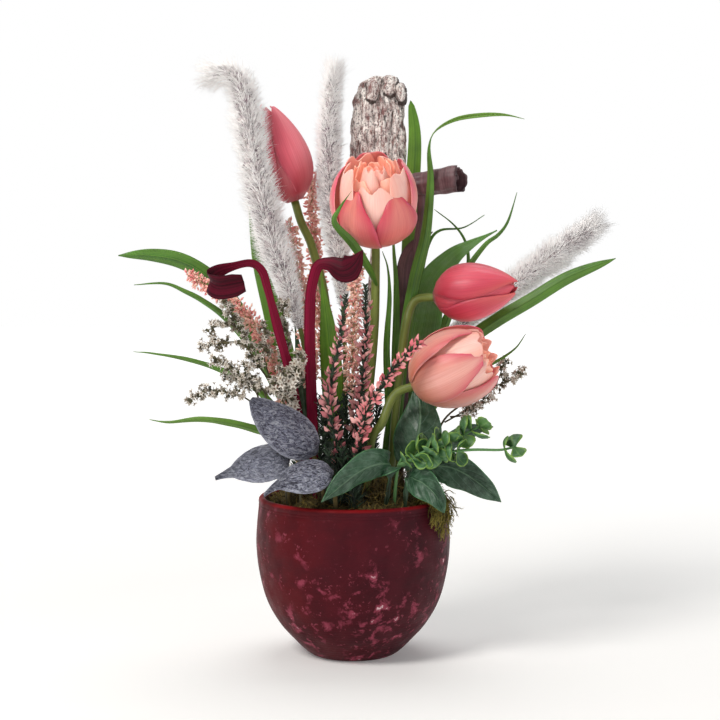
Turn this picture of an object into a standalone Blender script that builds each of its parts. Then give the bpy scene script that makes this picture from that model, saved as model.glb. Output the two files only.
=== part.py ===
"""A florist's tulip arrangement in a round pot: artificial tulips, furry plumes, curled leaves, grasses,
heather, statice, seed pods and a eucalyptus sprig, all standing in foam under a mound of moss.

Metres, +Z up. The origin is the centre of the flat face under the pot.

Points are given as (across, up, depth) in millimetres. The first two are read on the upright plane through
the pot's axis, where the point shows from the viewer's eye, and depth is how far behind that plane it lies.
"""

import math

import bmesh
import bpy
from mathutils import Matrix, Vector

MM = 0.001
GAP = 0.3 * MM
EYE = Vector((0.005, -1.270, 0.311))

# Driving dimensions of the pot and what fills it
POT_FLOOR = 9
POT_OUTSIDE = [(67.9, 115), (69, 111.5), (67.8, 107), (69.4, 95), (70, 80), (68, 61), (62.5, 40), (53, 23),
               (41, 9.5), (28.5, 0)]
POT_INSIDE = [(30, 9), (46, 21), (56, 38), (61.5, 58), (64, 80), (62.8, 110), (64.2, 115)]
FOAM_TOP = 92 * MM
MOSS_EDGE = 110 * MM
MOSS_CROWN = 124 * MM
MOSS_RADIUS = 61 * MM
POT_FACETS = 24

# Thicknesses, radii and root depths
LEAF_THICKNESS = 1.0 * MM
STALK_HALF_WIDTH = 1.5 * MM
STALK = 32
BASE_STALK = 34
PETAL_THICKNESS = 0.9 * MM
HOLE_CLEARANCE = 0.35
ROOT_IN_MOSS = 99 * MM
ROOT_IN_FOAM = 74 * MM
HOLE_TOP = 134 * MM
HOLE_SPARE = 0.5 * MM
GOLDEN_ANGLE = math.radians(137.508)

RIGHT = (1, 0, 0)
UP = (0, 0, 1)
AWAY = (0, 1, 0)

holes = []


def clear_scene():
    for obj in list(bpy.data.objects):
        bpy.data.objects.remove(obj)


def material(name, colour, roughness, metallic=0.0):
    made = bpy.data.materials.new(name)
    made.use_nodes = True
    shader = made.node_tree.nodes["Principled BSDF"]
    shader.inputs["Base Color"].default_value = (*colour, 1)
    shader.inputs["Roughness"].default_value = roughness
    shader.inputs["Metallic"].default_value = metallic
    made.diffuse_color = (*colour, 1)
    return made


def spot(across, up, depth):
    """The point that shows at (across, up) on the plane through the pot's axis and lies depth behind it."""
    on_plane = Vector((across * MM, 0, up * MM))
    reach = (depth * MM - EYE.y) / -EYE.y
    return EYE + (on_plane - EYE) * reach


def smooth_path(points, count):
    """count + 1 points at even distances along a smooth curve through the given points."""
    ends = [points[0] * 2 - points[1], *points, points[-1] * 2 - points[-2]]
    fine = []
    for before, start, stop, after in zip(ends, ends[1:], ends[2:], ends[3:]):
        for step in range(12):
            t = step / 12
            fine.append(
                0.5
                * (
                    2 * start
                    + (stop - before) * t
                    + (2 * before - 5 * start + 4 * stop - after) * t**2
                    + (3 * start - before - 3 * stop + after) * t**3
                )
            )
    fine.append(points[-1].copy())
    lengths = [0.0]
    for a, b in zip(fine, fine[1:]):
        lengths.append(lengths[-1] + (b - a).length)
    even = []
    k = 0
    for i in range(count + 1):
        want = lengths[-1] * i / count
        while k < len(fine) - 2 and lengths[k + 1] < want:
            k += 1
        span = lengths[k + 1] - lengths[k]
        even.append(fine[k].lerp(fine[k + 1], (want - lengths[k]) / span if span else 0))
    return even


def smooth_step(low, high, value):
    t = min(1, max(0, (value - low) / (high - low)))
    return t * t * (3 - 2 * t)


def blended(values, s):
    """The value a share s of the way along a list of evenly spaced values."""
    place = min(max(s, 0), 1) * (len(values) - 1)
    k = min(int(place), len(values) - 2)
    return values[k] + (values[k + 1] - values[k]) * (place - k)


def link(name, mesh, finish):
    obj = bpy.data.objects.new(name, mesh)
    arrangement.objects.link(obj)
    if finish:
        mesh.materials.clear()
        mesh.materials.append(finish)
    return obj


def evaluated_mesh(obj):
    bpy.context.view_layer.update()
    graph = bpy.context.evaluated_depsgraph_get()
    return bpy.data.meshes.new_from_object(obj.evaluated_get(graph))


def remove(obj):
    bpy.data.objects.remove(obj)


def shaded(obj, angle=40):
    obj.data.shade_smooth()
    obj.data.set_sharp_from_angle(angle=math.radians(angle))
    return obj


def tube(name, points, radii, count, facets=6, finish=None):
    """A closed tube along a smooth path. Its radii, in millimetres, are spread evenly along it."""
    path = smooth_path(points, count)
    curve = bpy.data.curves.new(name, "CURVE")
    curve.dimensions = "3D"
    curve.bevel_depth = max(radii) * MM
    curve.bevel_resolution = facets // 2 - 2
    curve.use_fill_caps = True
    spline = curve.splines.new("POLY")
    spline.points.add(count)
    for i, (knot, at) in enumerate(zip(spline.points, path)):
        knot.co = (*at, 1)
        knot.radius = blended(radii, i / count) / max(radii)
    guide = link(name + "_line", curve, None)
    mesh = evaluated_mesh(guide)
    remove(guide)
    bm = bmesh.new()
    bm.from_mesh(mesh)
    bmesh.ops.remove_doubles(bm, verts=bm.verts, dist=0.00001)
    bmesh.ops.recalc_face_normals(bm, faces=bm.faces)
    bm.to_mesh(mesh)
    bm.free()
    return shaded(link(name, mesh, finish))


def sheet(name, columns, rows, shape, thickness, finish=None):
    """A thin closed sheet: a grid whose point (u, v), u from -1 to 1 and v from 0 to 1, lies at shape(u, v)."""
    bm = bmesh.new()
    bmesh.ops.create_grid(bm, x_segments=columns, y_segments=rows, size=1)
    for vert in bm.verts:
        vert.co = shape(vert.co.x, (vert.co.y + 1) / 2)
    bmesh.ops.triangulate(bm, faces=bm.faces)
    mesh = bpy.data.meshes.new(name)
    bm.to_mesh(mesh)
    bm.free()
    obj = link(name, mesh, finish)
    solid = obj.modifiers.new("thickness", "SOLIDIFY")
    solid.thickness = thickness
    solid.offset = 0
    return shaded(obj)


def fuse(name, pieces, finish):
    """One closed body from overlapping pieces. Sealed hollows inside it and loose scraps are dropped."""
    first, *others = pieces
    joined = bpy.data.collections.new(name + "_pieces")
    bpy.context.scene.collection.children.link(joined)
    for piece in others:
        arrangement.objects.unlink(piece)
        joined.objects.link(piece)
    union = first.modifiers.new("union", "BOOLEAN")
    union.operation = "UNION"
    union.operand_type = "COLLECTION"
    union.collection = joined
    union.solver = "MANIFOLD"
    mesh = evaluated_mesh(first)
    for piece in pieces:
        remove(piece)
    bpy.data.collections.remove(joined)
    bm = bmesh.new()
    bm.from_mesh(mesh)
    keep_largest_body(bm)
    bm.to_mesh(mesh)
    bm.free()
    return shaded(link(name, mesh, finish))


def keep_largest_body(bm):
    bodies = []
    unseen = set(bm.verts)
    while unseen:
        stack = [unseen.pop()]
        body = set(stack)
        while stack:
            for edge in stack.pop().link_edges:
                for vert in edge.verts:
                    if vert in unseen:
                        unseen.remove(vert)
                        body.add(vert)
                        stack.append(vert)
        bodies.append(body)

    def spread(body):
        return sum(max(v.co[i] for v in body) - min(v.co[i] for v in body) for i in range(3))

    kept = max(bodies, key=spread)
    scraps = [vert for vert in bm.verts if vert not in kept]
    bmesh.ops.delete(bm, geom=scraps, context="VERTS")


def deform(obj, move):
    """Moves each vertex of a mesh to move(where it is)."""
    for vert in obj.data.vertices:
        vert.co = move(vert.co.copy())
    obj.data.update()


def aim(base, axis, turn=0.0):
    """The matrix that stands a piece made along +Z at a point, pointing along axis."""
    heading = Vector(axis).normalized().to_track_quat("Z", "Y").to_matrix().to_4x4()
    return Matrix.Translation(base) @ heading @ Matrix.Rotation(turn, 4, "Z")


def hole(points, radius, floor=ROOT_IN_MOSS):
    """Notes the plain straight hole that a stem stands in, wider than the stem."""
    path = smooth_path(points, 90)
    top = next((p for p in path if p.z > HOLE_TOP), max(path, key=lambda p: p.z))
    along = (top - path[0]).normalized()
    holes.append((path[0] - along * HOLE_SPARE, top, radius, floor))


def rooted(x, y, floor=ROOT_IN_MOSS):
    """The foot of a stem, x across and y deep, in millimetres."""
    return Vector((x * MM, y * MM, floor))


# Outlines of leaves, as a share of the greatest half width at a share s of the length
def grass_outline(s):
    return max(0.1, min(1, 0.5 + 2 * s) * (1 - s**3.2))


def broad_grass_outline(s):
    return max(0.1, min(1, 0.5 + 2 * s) * (1 - s**14))


def folded_grass_outline(s):
    """A blade that narrows to a crease at its fold and goes on as a slimmer one."""
    below = min(1, 0.6 + s) * math.sqrt(min(1, max(0, (0.78 - s) / 0.3)))
    beyond = 0.42 * math.sqrt(math.sin(math.pi * max(0, (s - 0.78) / 0.22)))
    return max(0.14, (below + beyond) * (1 - s**20))


def tulip_leaf_outline(s):
    return max(0.1, (0.28 + 0.72 * math.sin(math.pi * min(1, s * 1.05) ** 0.9)) * (1 - s**7))


def oval_outline(s):
    return max(0.08, math.sin(math.pi * s**0.8) ** 0.8)


def curl_outline(s):
    return 0.4 + 0.6 * smooth_step(0.78, 0.92, s) - 0.25 * max(0, (s - 0.97) / 0.03)


def hood_outline(s):
    return 0.4 + 0.6 * smooth_step(0.8, 0.91, s) - 0.88 * max(0, (s - 0.92) / 0.08)


def blunt_outline(s):
    return math.sqrt(max(0.02, 1 - s**12)) * (0.45 + 0.55 * smooth_step(0.2, 0.75, s))


def strap_outline(s):
    return 0.8 + 0.2 * s


def folded_tip_outline(s):
    return min(1, 0.42 + 0.58 * max(0, (s - 0.5) / 0.25)) * (1 - s**8) + 0.02


def leaf_line(points, rows, stalk):
    """Points along a leaf: its foot, the end of its bare stalk, then even steps to its tip."""
    fine = smooth_path(points, 120)
    length = sum((b - a).length for a, b in zip(fine, fine[1:]))
    bare = stalk * MM / length
    shares = [bare + (1 - bare) * k / (rows - 1) for k in range(rows)] if stalk else []
    shares = [0, *shares] if stalk else [k / rows for k in range(rows + 1)]
    return [fine[round(share * 120)] for share in shares], shares


def leaf(name, points, half_width, outline=grass_outline, sides=(RIGHT, RIGHT), cup=0.25, rows=8, columns=2,
         stalk=0.0, finish=None):
    """A thin leaf along a smooth path. sides are its width's directions, from foot to tip."""
    path, shares = leaf_line(points, rows, stalk)
    directions = [Vector(side).normalized() for side in sides]
    bare = shares[1] if stalk else 0

    def shape(u, v):
        k = round(v * rows)
        before, after = path[max(0, k - 1)], path[min(rows, k + 1)]
        tangent = (after - before).normalized()
        side = blended(directions, shares[k])
        side = (side - tangent * side.dot(tangent)).normalized()
        normal = tangent.cross(side)
        reach = half_width * MM * outline(max(0, shares[k] - bare) / (1 - bare))
        if stalk and k < 2:
            reach = min(reach, STALK_HALF_WIDTH)
        return path[k] + side * u * reach + normal * cup * abs(u) * reach

    return sheet(name, columns, rows, shape, LEAF_THICKNESS, finish)


# Spindles, small leaves and florets, the repeats of the sprays
def spindle(base, axis, length, half_width):
    """A small bud, three-sided and pointed at both ends."""
    bm = bmesh.new()
    bmesh.ops.create_uvsphere(bm, u_segments=3, v_segments=2, radius=1)
    frame = aim(base, axis)
    for vert in bm.verts:
        across = half_width * MM
        vert.co = frame @ Vector((vert.co.x * across, vert.co.y * across, (vert.co.z + 1) * length * MM / 2))
    return loose("spindle", bm)


def small_leaf(base, axis, face, length, half_width, half_thickness):
    """A small leaf, pointed at both ends and thicker along its middle."""
    bm = bmesh.new()
    bmesh.ops.create_uvsphere(bm, u_segments=4, v_segments=2, radius=1)
    along = Vector(axis).normalized()
    side = along.cross(Vector(face)).normalized()
    normal = side.cross(along)
    for vert in bm.verts:
        x, y, z = vert.co
        lift = (z + 1) / 2 + 0.1 * (1 - abs(z))
        vert.co = base + (along * lift * length + side * x * half_width + normal * y * half_thickness) * MM
    return loose("small_leaf", bm)


def floret(base, axis, length, radius):
    """A funnel-shaped floret with five corners."""
    bm = bmesh.new()
    bmesh.ops.create_cone(bm, cap_ends=True, cap_tris=True, segments=5, radius1=0, radius2=radius * MM,
                          depth=length * MM)
    frame = aim(base, axis)
    for vert in bm.verts:
        in_throat = vert.co.z > 0 and vert.co.to_2d().length < 0.1 * MM
        sunk = 0.4 * length * MM if in_throat else 0
        vert.co = frame @ (vert.co + Vector((0, 0, length * MM / 2 - sunk)))
    return loose("floret", bm)


def loose(name, bm):
    bmesh.ops.remove_doubles(bm, verts=bm.verts, dist=0.00001)
    bmesh.ops.recalc_face_normals(bm, faces=bm.faces)
    mesh = bpy.data.meshes.new(name)
    bm.to_mesh(mesh)
    bm.free()
    return link(name, mesh, None)


def ball(name, centre, radii, segments=10, rings=6):
    bm = bmesh.new()
    bmesh.ops.create_uvsphere(bm, u_segments=segments, v_segments=rings, radius=1)
    for vert in bm.verts:
        vert.co = Vector(centre) + Vector([vert.co[i] * radii[i] for i in range(3)])
    return loose(name, bm)


# The pot, the foam and the moss
def turned(name, profile, finish):
    """A solid of revolution from a profile in millimetres that runs down its outer side."""
    mesh = bpy.data.meshes.new(name)
    points = [(r * MM, 0, z * MM) for r, z in profile]
    mesh.from_pydata(points, [(i, i + 1) for i in range(len(points) - 1)], [])
    obj = link(name, mesh, finish)
    screw = obj.modifiers.new("turn", "SCREW")
    screw.steps = POT_FACETS
    screw.render_steps = POT_FACETS
    screw.use_merge_vertices = True
    screw.merge_threshold = 0.00001
    return obj


def make_pot():
    pot = turned("pot", [(0, POT_FLOOR), *POT_INSIDE, *POT_OUTSIDE, (0, 0)], POT_GLAZE)
    return shaded(pot)


def make_foam():
    """The foam fills the lower pot, a hair clear of its wall."""
    top = FOAM_TOP / MM
    side = [(r - 0.6, z + GAP / MM) for r, z in POT_INSIDE[0:5:2]]
    profile = [(0, side[0][1]), *side, (62, top - 2), (60, top)]
    return turned("foam", [(0, top), *reversed(profile[1:]), profile[0]], FOAM)


def moss_height(x, y):
    """The top of the mound: a low dome with soft lumps."""
    out = min(1, math.hypot(x, y) / MOSS_RADIUS)
    dome = MOSS_EDGE + (MOSS_CROWN - MOSS_EDGE) * (1 - out**2.2)
    lumps = math.sin(x * 170 + 1.3) * math.cos(y * 150 - 0.4) + 0.6 * math.sin(x * 310 + y * 270)
    return dome + 1.6 * MM * lumps * (1 - 0.5 * out)


def make_moss():
    edge = MOSS_RADIUS / MM
    top = MOSS_EDGE / MM
    floor = FOAM_TOP / MM + 0.3
    rings = [edge * share for share in (0.28, 0.58, 0.86)]
    profile = [(0, top)] + [(r, top) for r in rings] + [(edge, top - 1.5), (edge - 0.8, floor), (0, floor)]
    blank = turned("mound_blank", profile, None)
    mound = link("mound", evaluated_mesh(blank), None)
    remove(blank)
    lowest_top = (top - 1) * MM
    deform(mound, lambda p: Vector((p.x, p.y, moss_height(p.x, p.y))) if p.z > lowest_top else p)
    strands = []
    for spread, drop in ((-30, 95), (-24, 104), (-38, 104)):
        out = Vector((math.cos(math.radians(spread)), math.sin(math.radians(spread)), 0))
        line = [out * r * MM + Vector((0, 0, z * MM)) for r, z in
                ((54, 111), (60, 118), (66, 120.6), (72, 118), (73.8, 109), (73, drop))]
        strands.append(tube("strand", line, (3.4, 3.2, 2.8, 2.4, 1.6, 0.6), 6, 4))
    moss = fuse("moss", [mound, *strands], MOSS)
    return moss


def cut_holes(moss, foam):
    """The plain holes that the stems stand in, through the moss and, for heavy stems, down into the foam."""
    cutters = bpy.data.collections.new("cutters")
    deep_cutters = bpy.data.collections.new("deep_cutters")
    for group in (cutters, deep_cutters):
        bpy.context.scene.collection.children.link(group)
    for number, (low, high, radius, floor) in enumerate(holes):
        clear = (radius + HOLE_CLEARANCE) * math.sqrt(2)
        cutter = tube(f"hole_{number}", [low, high], (clear, clear), 1, 4)
        arrangement.objects.unlink(cutter)
        cutters.objects.link(cutter)
        if floor == ROOT_IN_FOAM:
            deep_cutters.objects.link(cutter)
        cutter.hide_render = True
        cutter.display_type = "WIRE"
    for solid, group in ((moss, cutters), (foam, deep_cutters)):
        cut = solid.modifiers.new("holes", "BOOLEAN")
        cut.operation = "DIFFERENCE"
        cut.operand_type = "COLLECTION"
        cut.collection = group
        cut.solver = "MANIFOLD"


# Tulip blooms, made along +Z with the foot of the petals at the origin
def cup_profile(t, radius, height, closing):
    """Radius and height of an open flower's side at a share t of the way up."""
    turn = t * math.pi / 2 * closing
    return radius * math.sin(turn), height * (1 - math.cos(turn)) / (1 - math.cos(math.pi / 2 * closing))


def egg_profile(t, radius, height):
    """Radius and height of a closed bud's side at a share t of the way up."""
    return radius * math.sin(math.pi * t**0.72) ** 0.75, height * t


def petal_outline(v):
    widening = 0.5 + 0.5 * math.sin(min(1, v / 0.55) * math.pi / 2)
    rounding = math.sqrt(max(0, 1 - max(0, (v - 0.55) / 0.45) ** 2.6))
    return max(0.42, widening * rounding)


def open_petal(turn, radius, height, half_width, closing, taper, columns, rows):
    """A cupped petal. The share taper of its width is gone at its top edge."""
    start = 0.3

    def shape(u, v):
        top = max(0, 2 * v - 1)
        widening = 0.5 + 0.5 * math.sin(min(1, v / 0.55) * math.pi / 2)
        reach = start + (1 - start) * v * (1 - 0.17 * abs(u) ** 3 * top)
        r, z = cup_profile(reach, radius * MM, height * MM, closing)
        half = half_width * MM * widening * (1 - taper * top**2)
        angle = turn + u * half / max(r, 0.5 * radius * MM)
        r += (1.5 * u - 1.1 * u * u * v) * MM
        return Vector((r * math.cos(angle), r * math.sin(angle), z))

    return sheet("petal", columns, rows, shape, PETAL_THICKNESS)


def closed_petal(turn, radius, height, half_angle, lift, reach, columns, rows):
    start = 0.03

    def shape(u, v):
        r, z = egg_profile(min(start + (reach - start) * v, 0.985), radius * MM, height * MM)
        rise = min(1, v * 4)
        r += (lift * rise - 1.2 * (1 - rise) - 0.4 * lift * u * u * rise + 0.2 * u + 0.5 * v) * MM
        angle = turn + u * half_angle * petal_outline(v)
        return Vector((r * math.cos(angle), r * math.sin(angle), z))

    return sheet("petal", columns, rows, shape, PETAL_THICKNESS)


DOUBLE_RINGS = (
    # number of petals, first turn, shares of the radius, height and half width, closing, taper, droop of the
    # petals nearest the viewer, columns, rows
    (5, 0.20, 1.00, 0.95, 0.64, 1.52, 0.62, 0.30, 3, 4),
    (5, 0.75, 0.82, 1.00, 0.62, 1.50, 0.42, 0.20, 3, 3),
    (4, 0.10, 0.60, 0.95, 0.48, 1.46, 0.42, 0.10, 2, 3),
)


def open_bloom(name, radius, height, turn, droop):
    """A double tulip: rings of cupped petals, each ring smaller, on a rounded foot."""
    foot, axis = BLOOMS[name]
    where = aim(spot(*foot), axis, turn)
    depth = height * 0.13 * MM
    wide = radius * 0.58 * MM
    pieces = [ball("foot", (0, 0, depth), (wide, wide, depth), 9, 4)]
    for ring, (number, first, wide, tall, half, closing, taper, near_droop, *grid) in enumerate(DOUBLE_RINGS):
        for k in range(number):
            angle = first + k * 2 * math.pi / number
            near = -(where.to_3x3() @ Vector((math.cos(angle), math.sin(angle), 0))).y
            uneven = (1 - 0.03 * ((k * 2 + ring) % 3)) * (1 - droop * near_droop * max(0, near))
            pieces.append(open_petal(angle, radius * wide, height * tall * uneven, radius * half, closing, taper,
                                     *grid))
    fuse(name, pieces, PETAL_PEACH).data.transform(where)


def closed_bloom(name, radius, height, turn):
    """A tulip bud: three inner petals closed over a solid heart and three outer ones round them."""
    heart = [(radius * 0.2, 0)]
    for k in range(6):
        t = 0.04 + 0.14 * k
        r, z = egg_profile(t, radius, height * 0.97)
        heart.append((r * (0.96 - 0.22 * min(1, t / 0.3)), z))
    blank = turned("heart_blank", [(0, heart[-1][1] + 7), *reversed(heart), (0, 0)], None)
    blank.modifiers["turn"].steps = blank.modifiers["turn"].render_steps = 8
    pieces = [link("heart", evaluated_mesh(blank), None)]
    remove(blank)
    for k in range(3):
        turned_by = k * 2 * math.pi / 3
        pieces.append(closed_petal(turned_by + math.pi / 3, radius, height, 0.92, -2.2, 0.93, 3, 3))
        pieces.append(closed_petal(turned_by, radius, height, 0.98, 0.9, 0.975 - 0.05 * k, 3, 5))
    foot, axis = BLOOMS[name]
    fuse(name, pieces, PETAL_PINK).data.transform(aim(spot(*foot), axis, turn))


# Where each bloom sits: the foot of its petals, and the way it faces
BLOOMS = {
    "tulip_bud_left": ((-41, 325, 14), (-0.29, 0, 0.96)),
    "tulip_open_centre": ((16, 297, -10), (-0.02, -0.42, 0.9)),
    "tulip_bud_right": ((58, 258, -10), (0.88, -0.42, 0.16)),
    "tulip_open_right": ((43, 194, -30), (0.86, -0.2, 0.42)),
}


def stem_under(bloom):
    """The last two points of the stem under a bloom, straight in line with it."""
    foot, axis = BLOOMS[bloom]
    along = Vector(axis).normalized()
    top = spot(*foot) - along * 2 * GAP
    return [top - along * 14 * MM, top]


def flower_stem(name, root, path, bloom, leaves):
    """A tulip's stem, fused with the leaves that grow on it."""
    line = [rooted(*root, ROOT_IN_FOAM), *[spot(*p) for p in path], *stem_under(bloom)]
    hole(line, 2.7, ROOT_IN_FOAM)
    stem = tube(name, line, (2.7, 2.7, 2.9, 3.2, 2.6), 12, 6, STEM_GREEN)
    return fuse(name, [stem, *leaves], STEM_GREEN) if leaves else stem


def make_tulips():
    closed_bloom("tulip_bud_left", 19.5, 76, -1.2)
    closed_bloom("tulip_bud_right", 19.5, 66, 2.4)
    open_bloom("tulip_open_centre", 30.5, 64, 3.94, 1)
    open_bloom("tulip_open_right", 27.5, 62, 0.55, 0)

    blade_line = ((-12, 140, 8), (-15, 199, 2), (-18, 235, -2), (-21, 260, -3), (-23, 277, -4))
    blade = leaf("blade", [spot(*p) for p in blade_line], 8, tulip_leaf_outline, rows=6)
    flower_stem("stem_bud_left", (-9, 8), ((-12, 155, 10), (-19, 249, 12), (-29, 293, 14)), "tulip_bud_left",
                [blade])

    kinked_line = ((17, 266, -5), (11, 279, -22), (0, 296, -38), (-13, 311, -50), (-10, 321, -53), (-1, 334, -54))
    kinked = leaf("blade", [spot(*p) for p in kinked_line], 3.8, tulip_leaf_outline,
                  ((0.4, -0.6, 0.3), (0.6, -0.2, 0.6), (1, 0, 0.2)), rows=8)
    flower_stem("stem_open_centre", (7, -8), ((9, 155, -8), (15, 230, -4)), "tulip_open_centre", [kinked])
    flower_stem("stem_bud_right", (24, -6), ((29, 155, -6), (34, 206, -8), (38, 238, -9)), "tulip_bud_right", [])
    flower_stem("stem_open_right", (8, -30), ((12, 148, -31), (21, 168, -32)), "tulip_open_right", [])


# Furry plumes
PLUMES = {
    # name: root, stem's path, head's path, radii along the head
    "plume_left": ((-21, -10), ((-25, 150, -12), (-31, 199, -13), (-38, 236, -15)),
                   ((-38, 236, -15), (-49, 274, -16), (-59, 303, -17), (-68, 342, -17), (-74, 377, -17),
                    (-77, 400, -17), (-85, 415, -18), (-102, 416, -18)),
                   (3, 10, 13, 14, 13.5, 13, 13.5, 12, 5)),
    "plume_centre": ((-4, 24), ((-5, 155, 22), (-6, 227, 20), (-7, 252, 19)),
                     ((-7, 252, 19), (-11, 296, 19), (-15, 324, 19), (-17, 356, 19), (-16, 391, 19),
                      (-13, 421, 20)),
                     (3, 8, 10, 10.5, 10, 9.5, 9, 4)),
    "plume_right": ((28, 24), ((33, 155, 26), (50, 206, 27), (66, 230, 28)),
                    ((66, 230, 28), (84, 243, 28), (109, 262, 29), (134, 281, 30), (159, 299, 31),
                     (173, 310, 32)),
                    (3, 7, 9.5, 11, 12, 12.5, 11, 4)),
}


def make_plumes():
    rings, facets = 13, 10
    for name, (root, stem_path, head_path, radii) in PLUMES.items():
        head_line = [spot(*p) for p in head_path]
        inside_head = head_line[0].lerp(head_line[1], 0.4)
        line = [rooted(*root, ROOT_IN_FOAM), *[spot(*p) for p in stem_path], inside_head]
        hole(line, 1.6, ROOT_IN_FOAM)
        stem = tube("stem", line, (1.6, 1.6), 5, 4)
        head = tube("head", head_line, radii, rings, facets)
        spine = smooth_path(head_line, rings)

        def ruffled(p):
            """Every second point of the tube stands out as a tuft, leaning towards the tip."""
            k = min(range(rings + 1), key=lambda i: (spine[i] - p).length)
            out = p - spine[k]
            ahead = spine[min(rings, k + 1)] - spine[max(0, k - 1)]
            side = ahead.cross(Vector(AWAY)).normalized()
            turn = math.atan2(out.dot(side), out.dot(ahead.normalized().cross(side)))
            tuft = (round(turn / (2 * math.pi / facets) - 0.25) + k) % 2
            return p + out * (0.2 if tuft else -0.14) + ahead * (0.25 if tuft else 0)

        deform(head, ruffled)
        fuse(name, [head, stem], PLUME_FUR)


# The weathered flat pod behind the open tulip
def make_bark_pod():
    line = [rooted(4, 38, ROOT_IN_FOAM), *[spot(*p) for p in ((6, 155, 36), (12, 256, 35), (16, 310, 34))]]
    hole(line, 1.8, ROOT_IN_FOAM)
    stem = tube("stem", line, (1.8, 1.8, 2.2), 4, 4)
    body_line = ((16, 300, 34), (18, 340, 34), (18, 370, 34), (18, 395, 34), (20, 415, 34))
    body = tube("body", [spot(*p) for p in body_line], (3, 14, 20, 20.5, 20, 18.5, 10), 9, 10)
    middle = spot(18, 360, 34)

    def weathered(p):
        groove = 1 + 0.18 * math.sin((p.x - middle.x) * 520 + p.z * 30)
        return Vector((p.x, middle.y + (p.y - middle.y) * 0.42 * groove, p.z))

    deform(body, weathered)
    scales = []
    for across, up, wide, tall in ((14, 403, 7, 9), (26, 407, 7.5, 8), (34, 402, 5, 8)):
        scales.append(ball("scale", spot(across, up, 34), (wide * MM, 12.5 * MM, tall * MM), 6, 6))
    return fuse("bark_pod", [body, stem, *scales], BARK)


# Leaves that bend over at the top
def make_burgundy_leaves():
    line = [rooted(-33, -22), *[spot(*p) for p in (
        (-38, 160, -28), (-45, 201, -40), (-53, 231, -43), (-62, 265, -44), (-66, 277, -44), (-73, 282, -44),
        (-85, 280, -46), (-96, 276, -48), (-102, 270, -52), (-95, 266, -57), (-78, 269, -59))]]
    hole(line, 1.7)
    leaf("burgundy_leaf_left", line, 8.5, curl_outline,
         (RIGHT, RIGHT, RIGHT, (0.7, -0.3, 0.6), (0, -0.5, 0.85), (0.1, -0.3, 0.95)), 0.25, rows=16, stalk=STALK,
         finish=BURGUNDY)
    line = [rooted(-26, -33), *[spot(*p) for p in (
        (-29, 159, -34), (-31, 220, -42), (-31, 254, -46), (-29, 270, -47), (-25, 281, -48), (-17, 282, -50),
        (-8, 278, -54), (0, 282, -58), (7, 292, -61))]]
    hole(line, 1.7)
    leaf("burgundy_leaf_centre", line, 9.5, hood_outline,
         (RIGHT, RIGHT, RIGHT, RIGHT, (0.6, -0.2, -0.7), (0.3, -0.3, -0.9)), 0.25, rows=16, stalk=STALK,
         finish=BURGUNDY)


def make_mauve_leaves():
    line = [rooted(34, 10), *[spot(*p) for p in (
        (36, 159, 11), (39, 235, 10), (43, 263, 10), (46, 292, 10), (49, 317, 9), (49, 336, 8))]]
    hole(line, 1.7)
    strap = leaf("strap", line, 3.4, strap_outline, rows=7, stalk=STALK)
    roll_start, roll_end = spot(43, 338, 15), spot(77, 343, -2)
    along = (roll_end - roll_start).normalized()
    upward = (Vector(UP) - along * along.z).normalized()
    outward = along.cross(upward)

    def roll(u, v):
        """A leaf rolled up on itself round a level line, ragged at its far end."""
        turn = 0.6 + 7.4 * v
        radius = (9.5 + 0.75 * (u + 1) - 4.4 * v) * MM
        ragged = 1.5 * MM * math.sin(turn * 3) * (1 if u > 0 else 0)
        reach = roll_start.lerp(roll_end, (u + 1) / 2) + along * ragged
        return reach + upward * radius * math.cos(turn) + outward * radius * math.sin(turn)

    scroll = sheet("scroll", 2, 13, roll, LEAF_THICKNESS)
    fuse("mauve_leaf_rolled", [strap, scroll], MAUVE)
    line = [rooted(34, 17), *[spot(*p) for p in (
        (36, 159, 17), (36, 235, 17), (37, 270, 17), (39, 286, 17), (45, 296, 17), (57, 305, 15))]]
    hole(line, 1.7)
    leaf("mauve_leaf_bent", line, 7.5, folded_tip_outline, (RIGHT, RIGHT, RIGHT, (0.7, 0, -0.7)), rows=8,
         stalk=STALK, finish=MAUVE)


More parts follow.
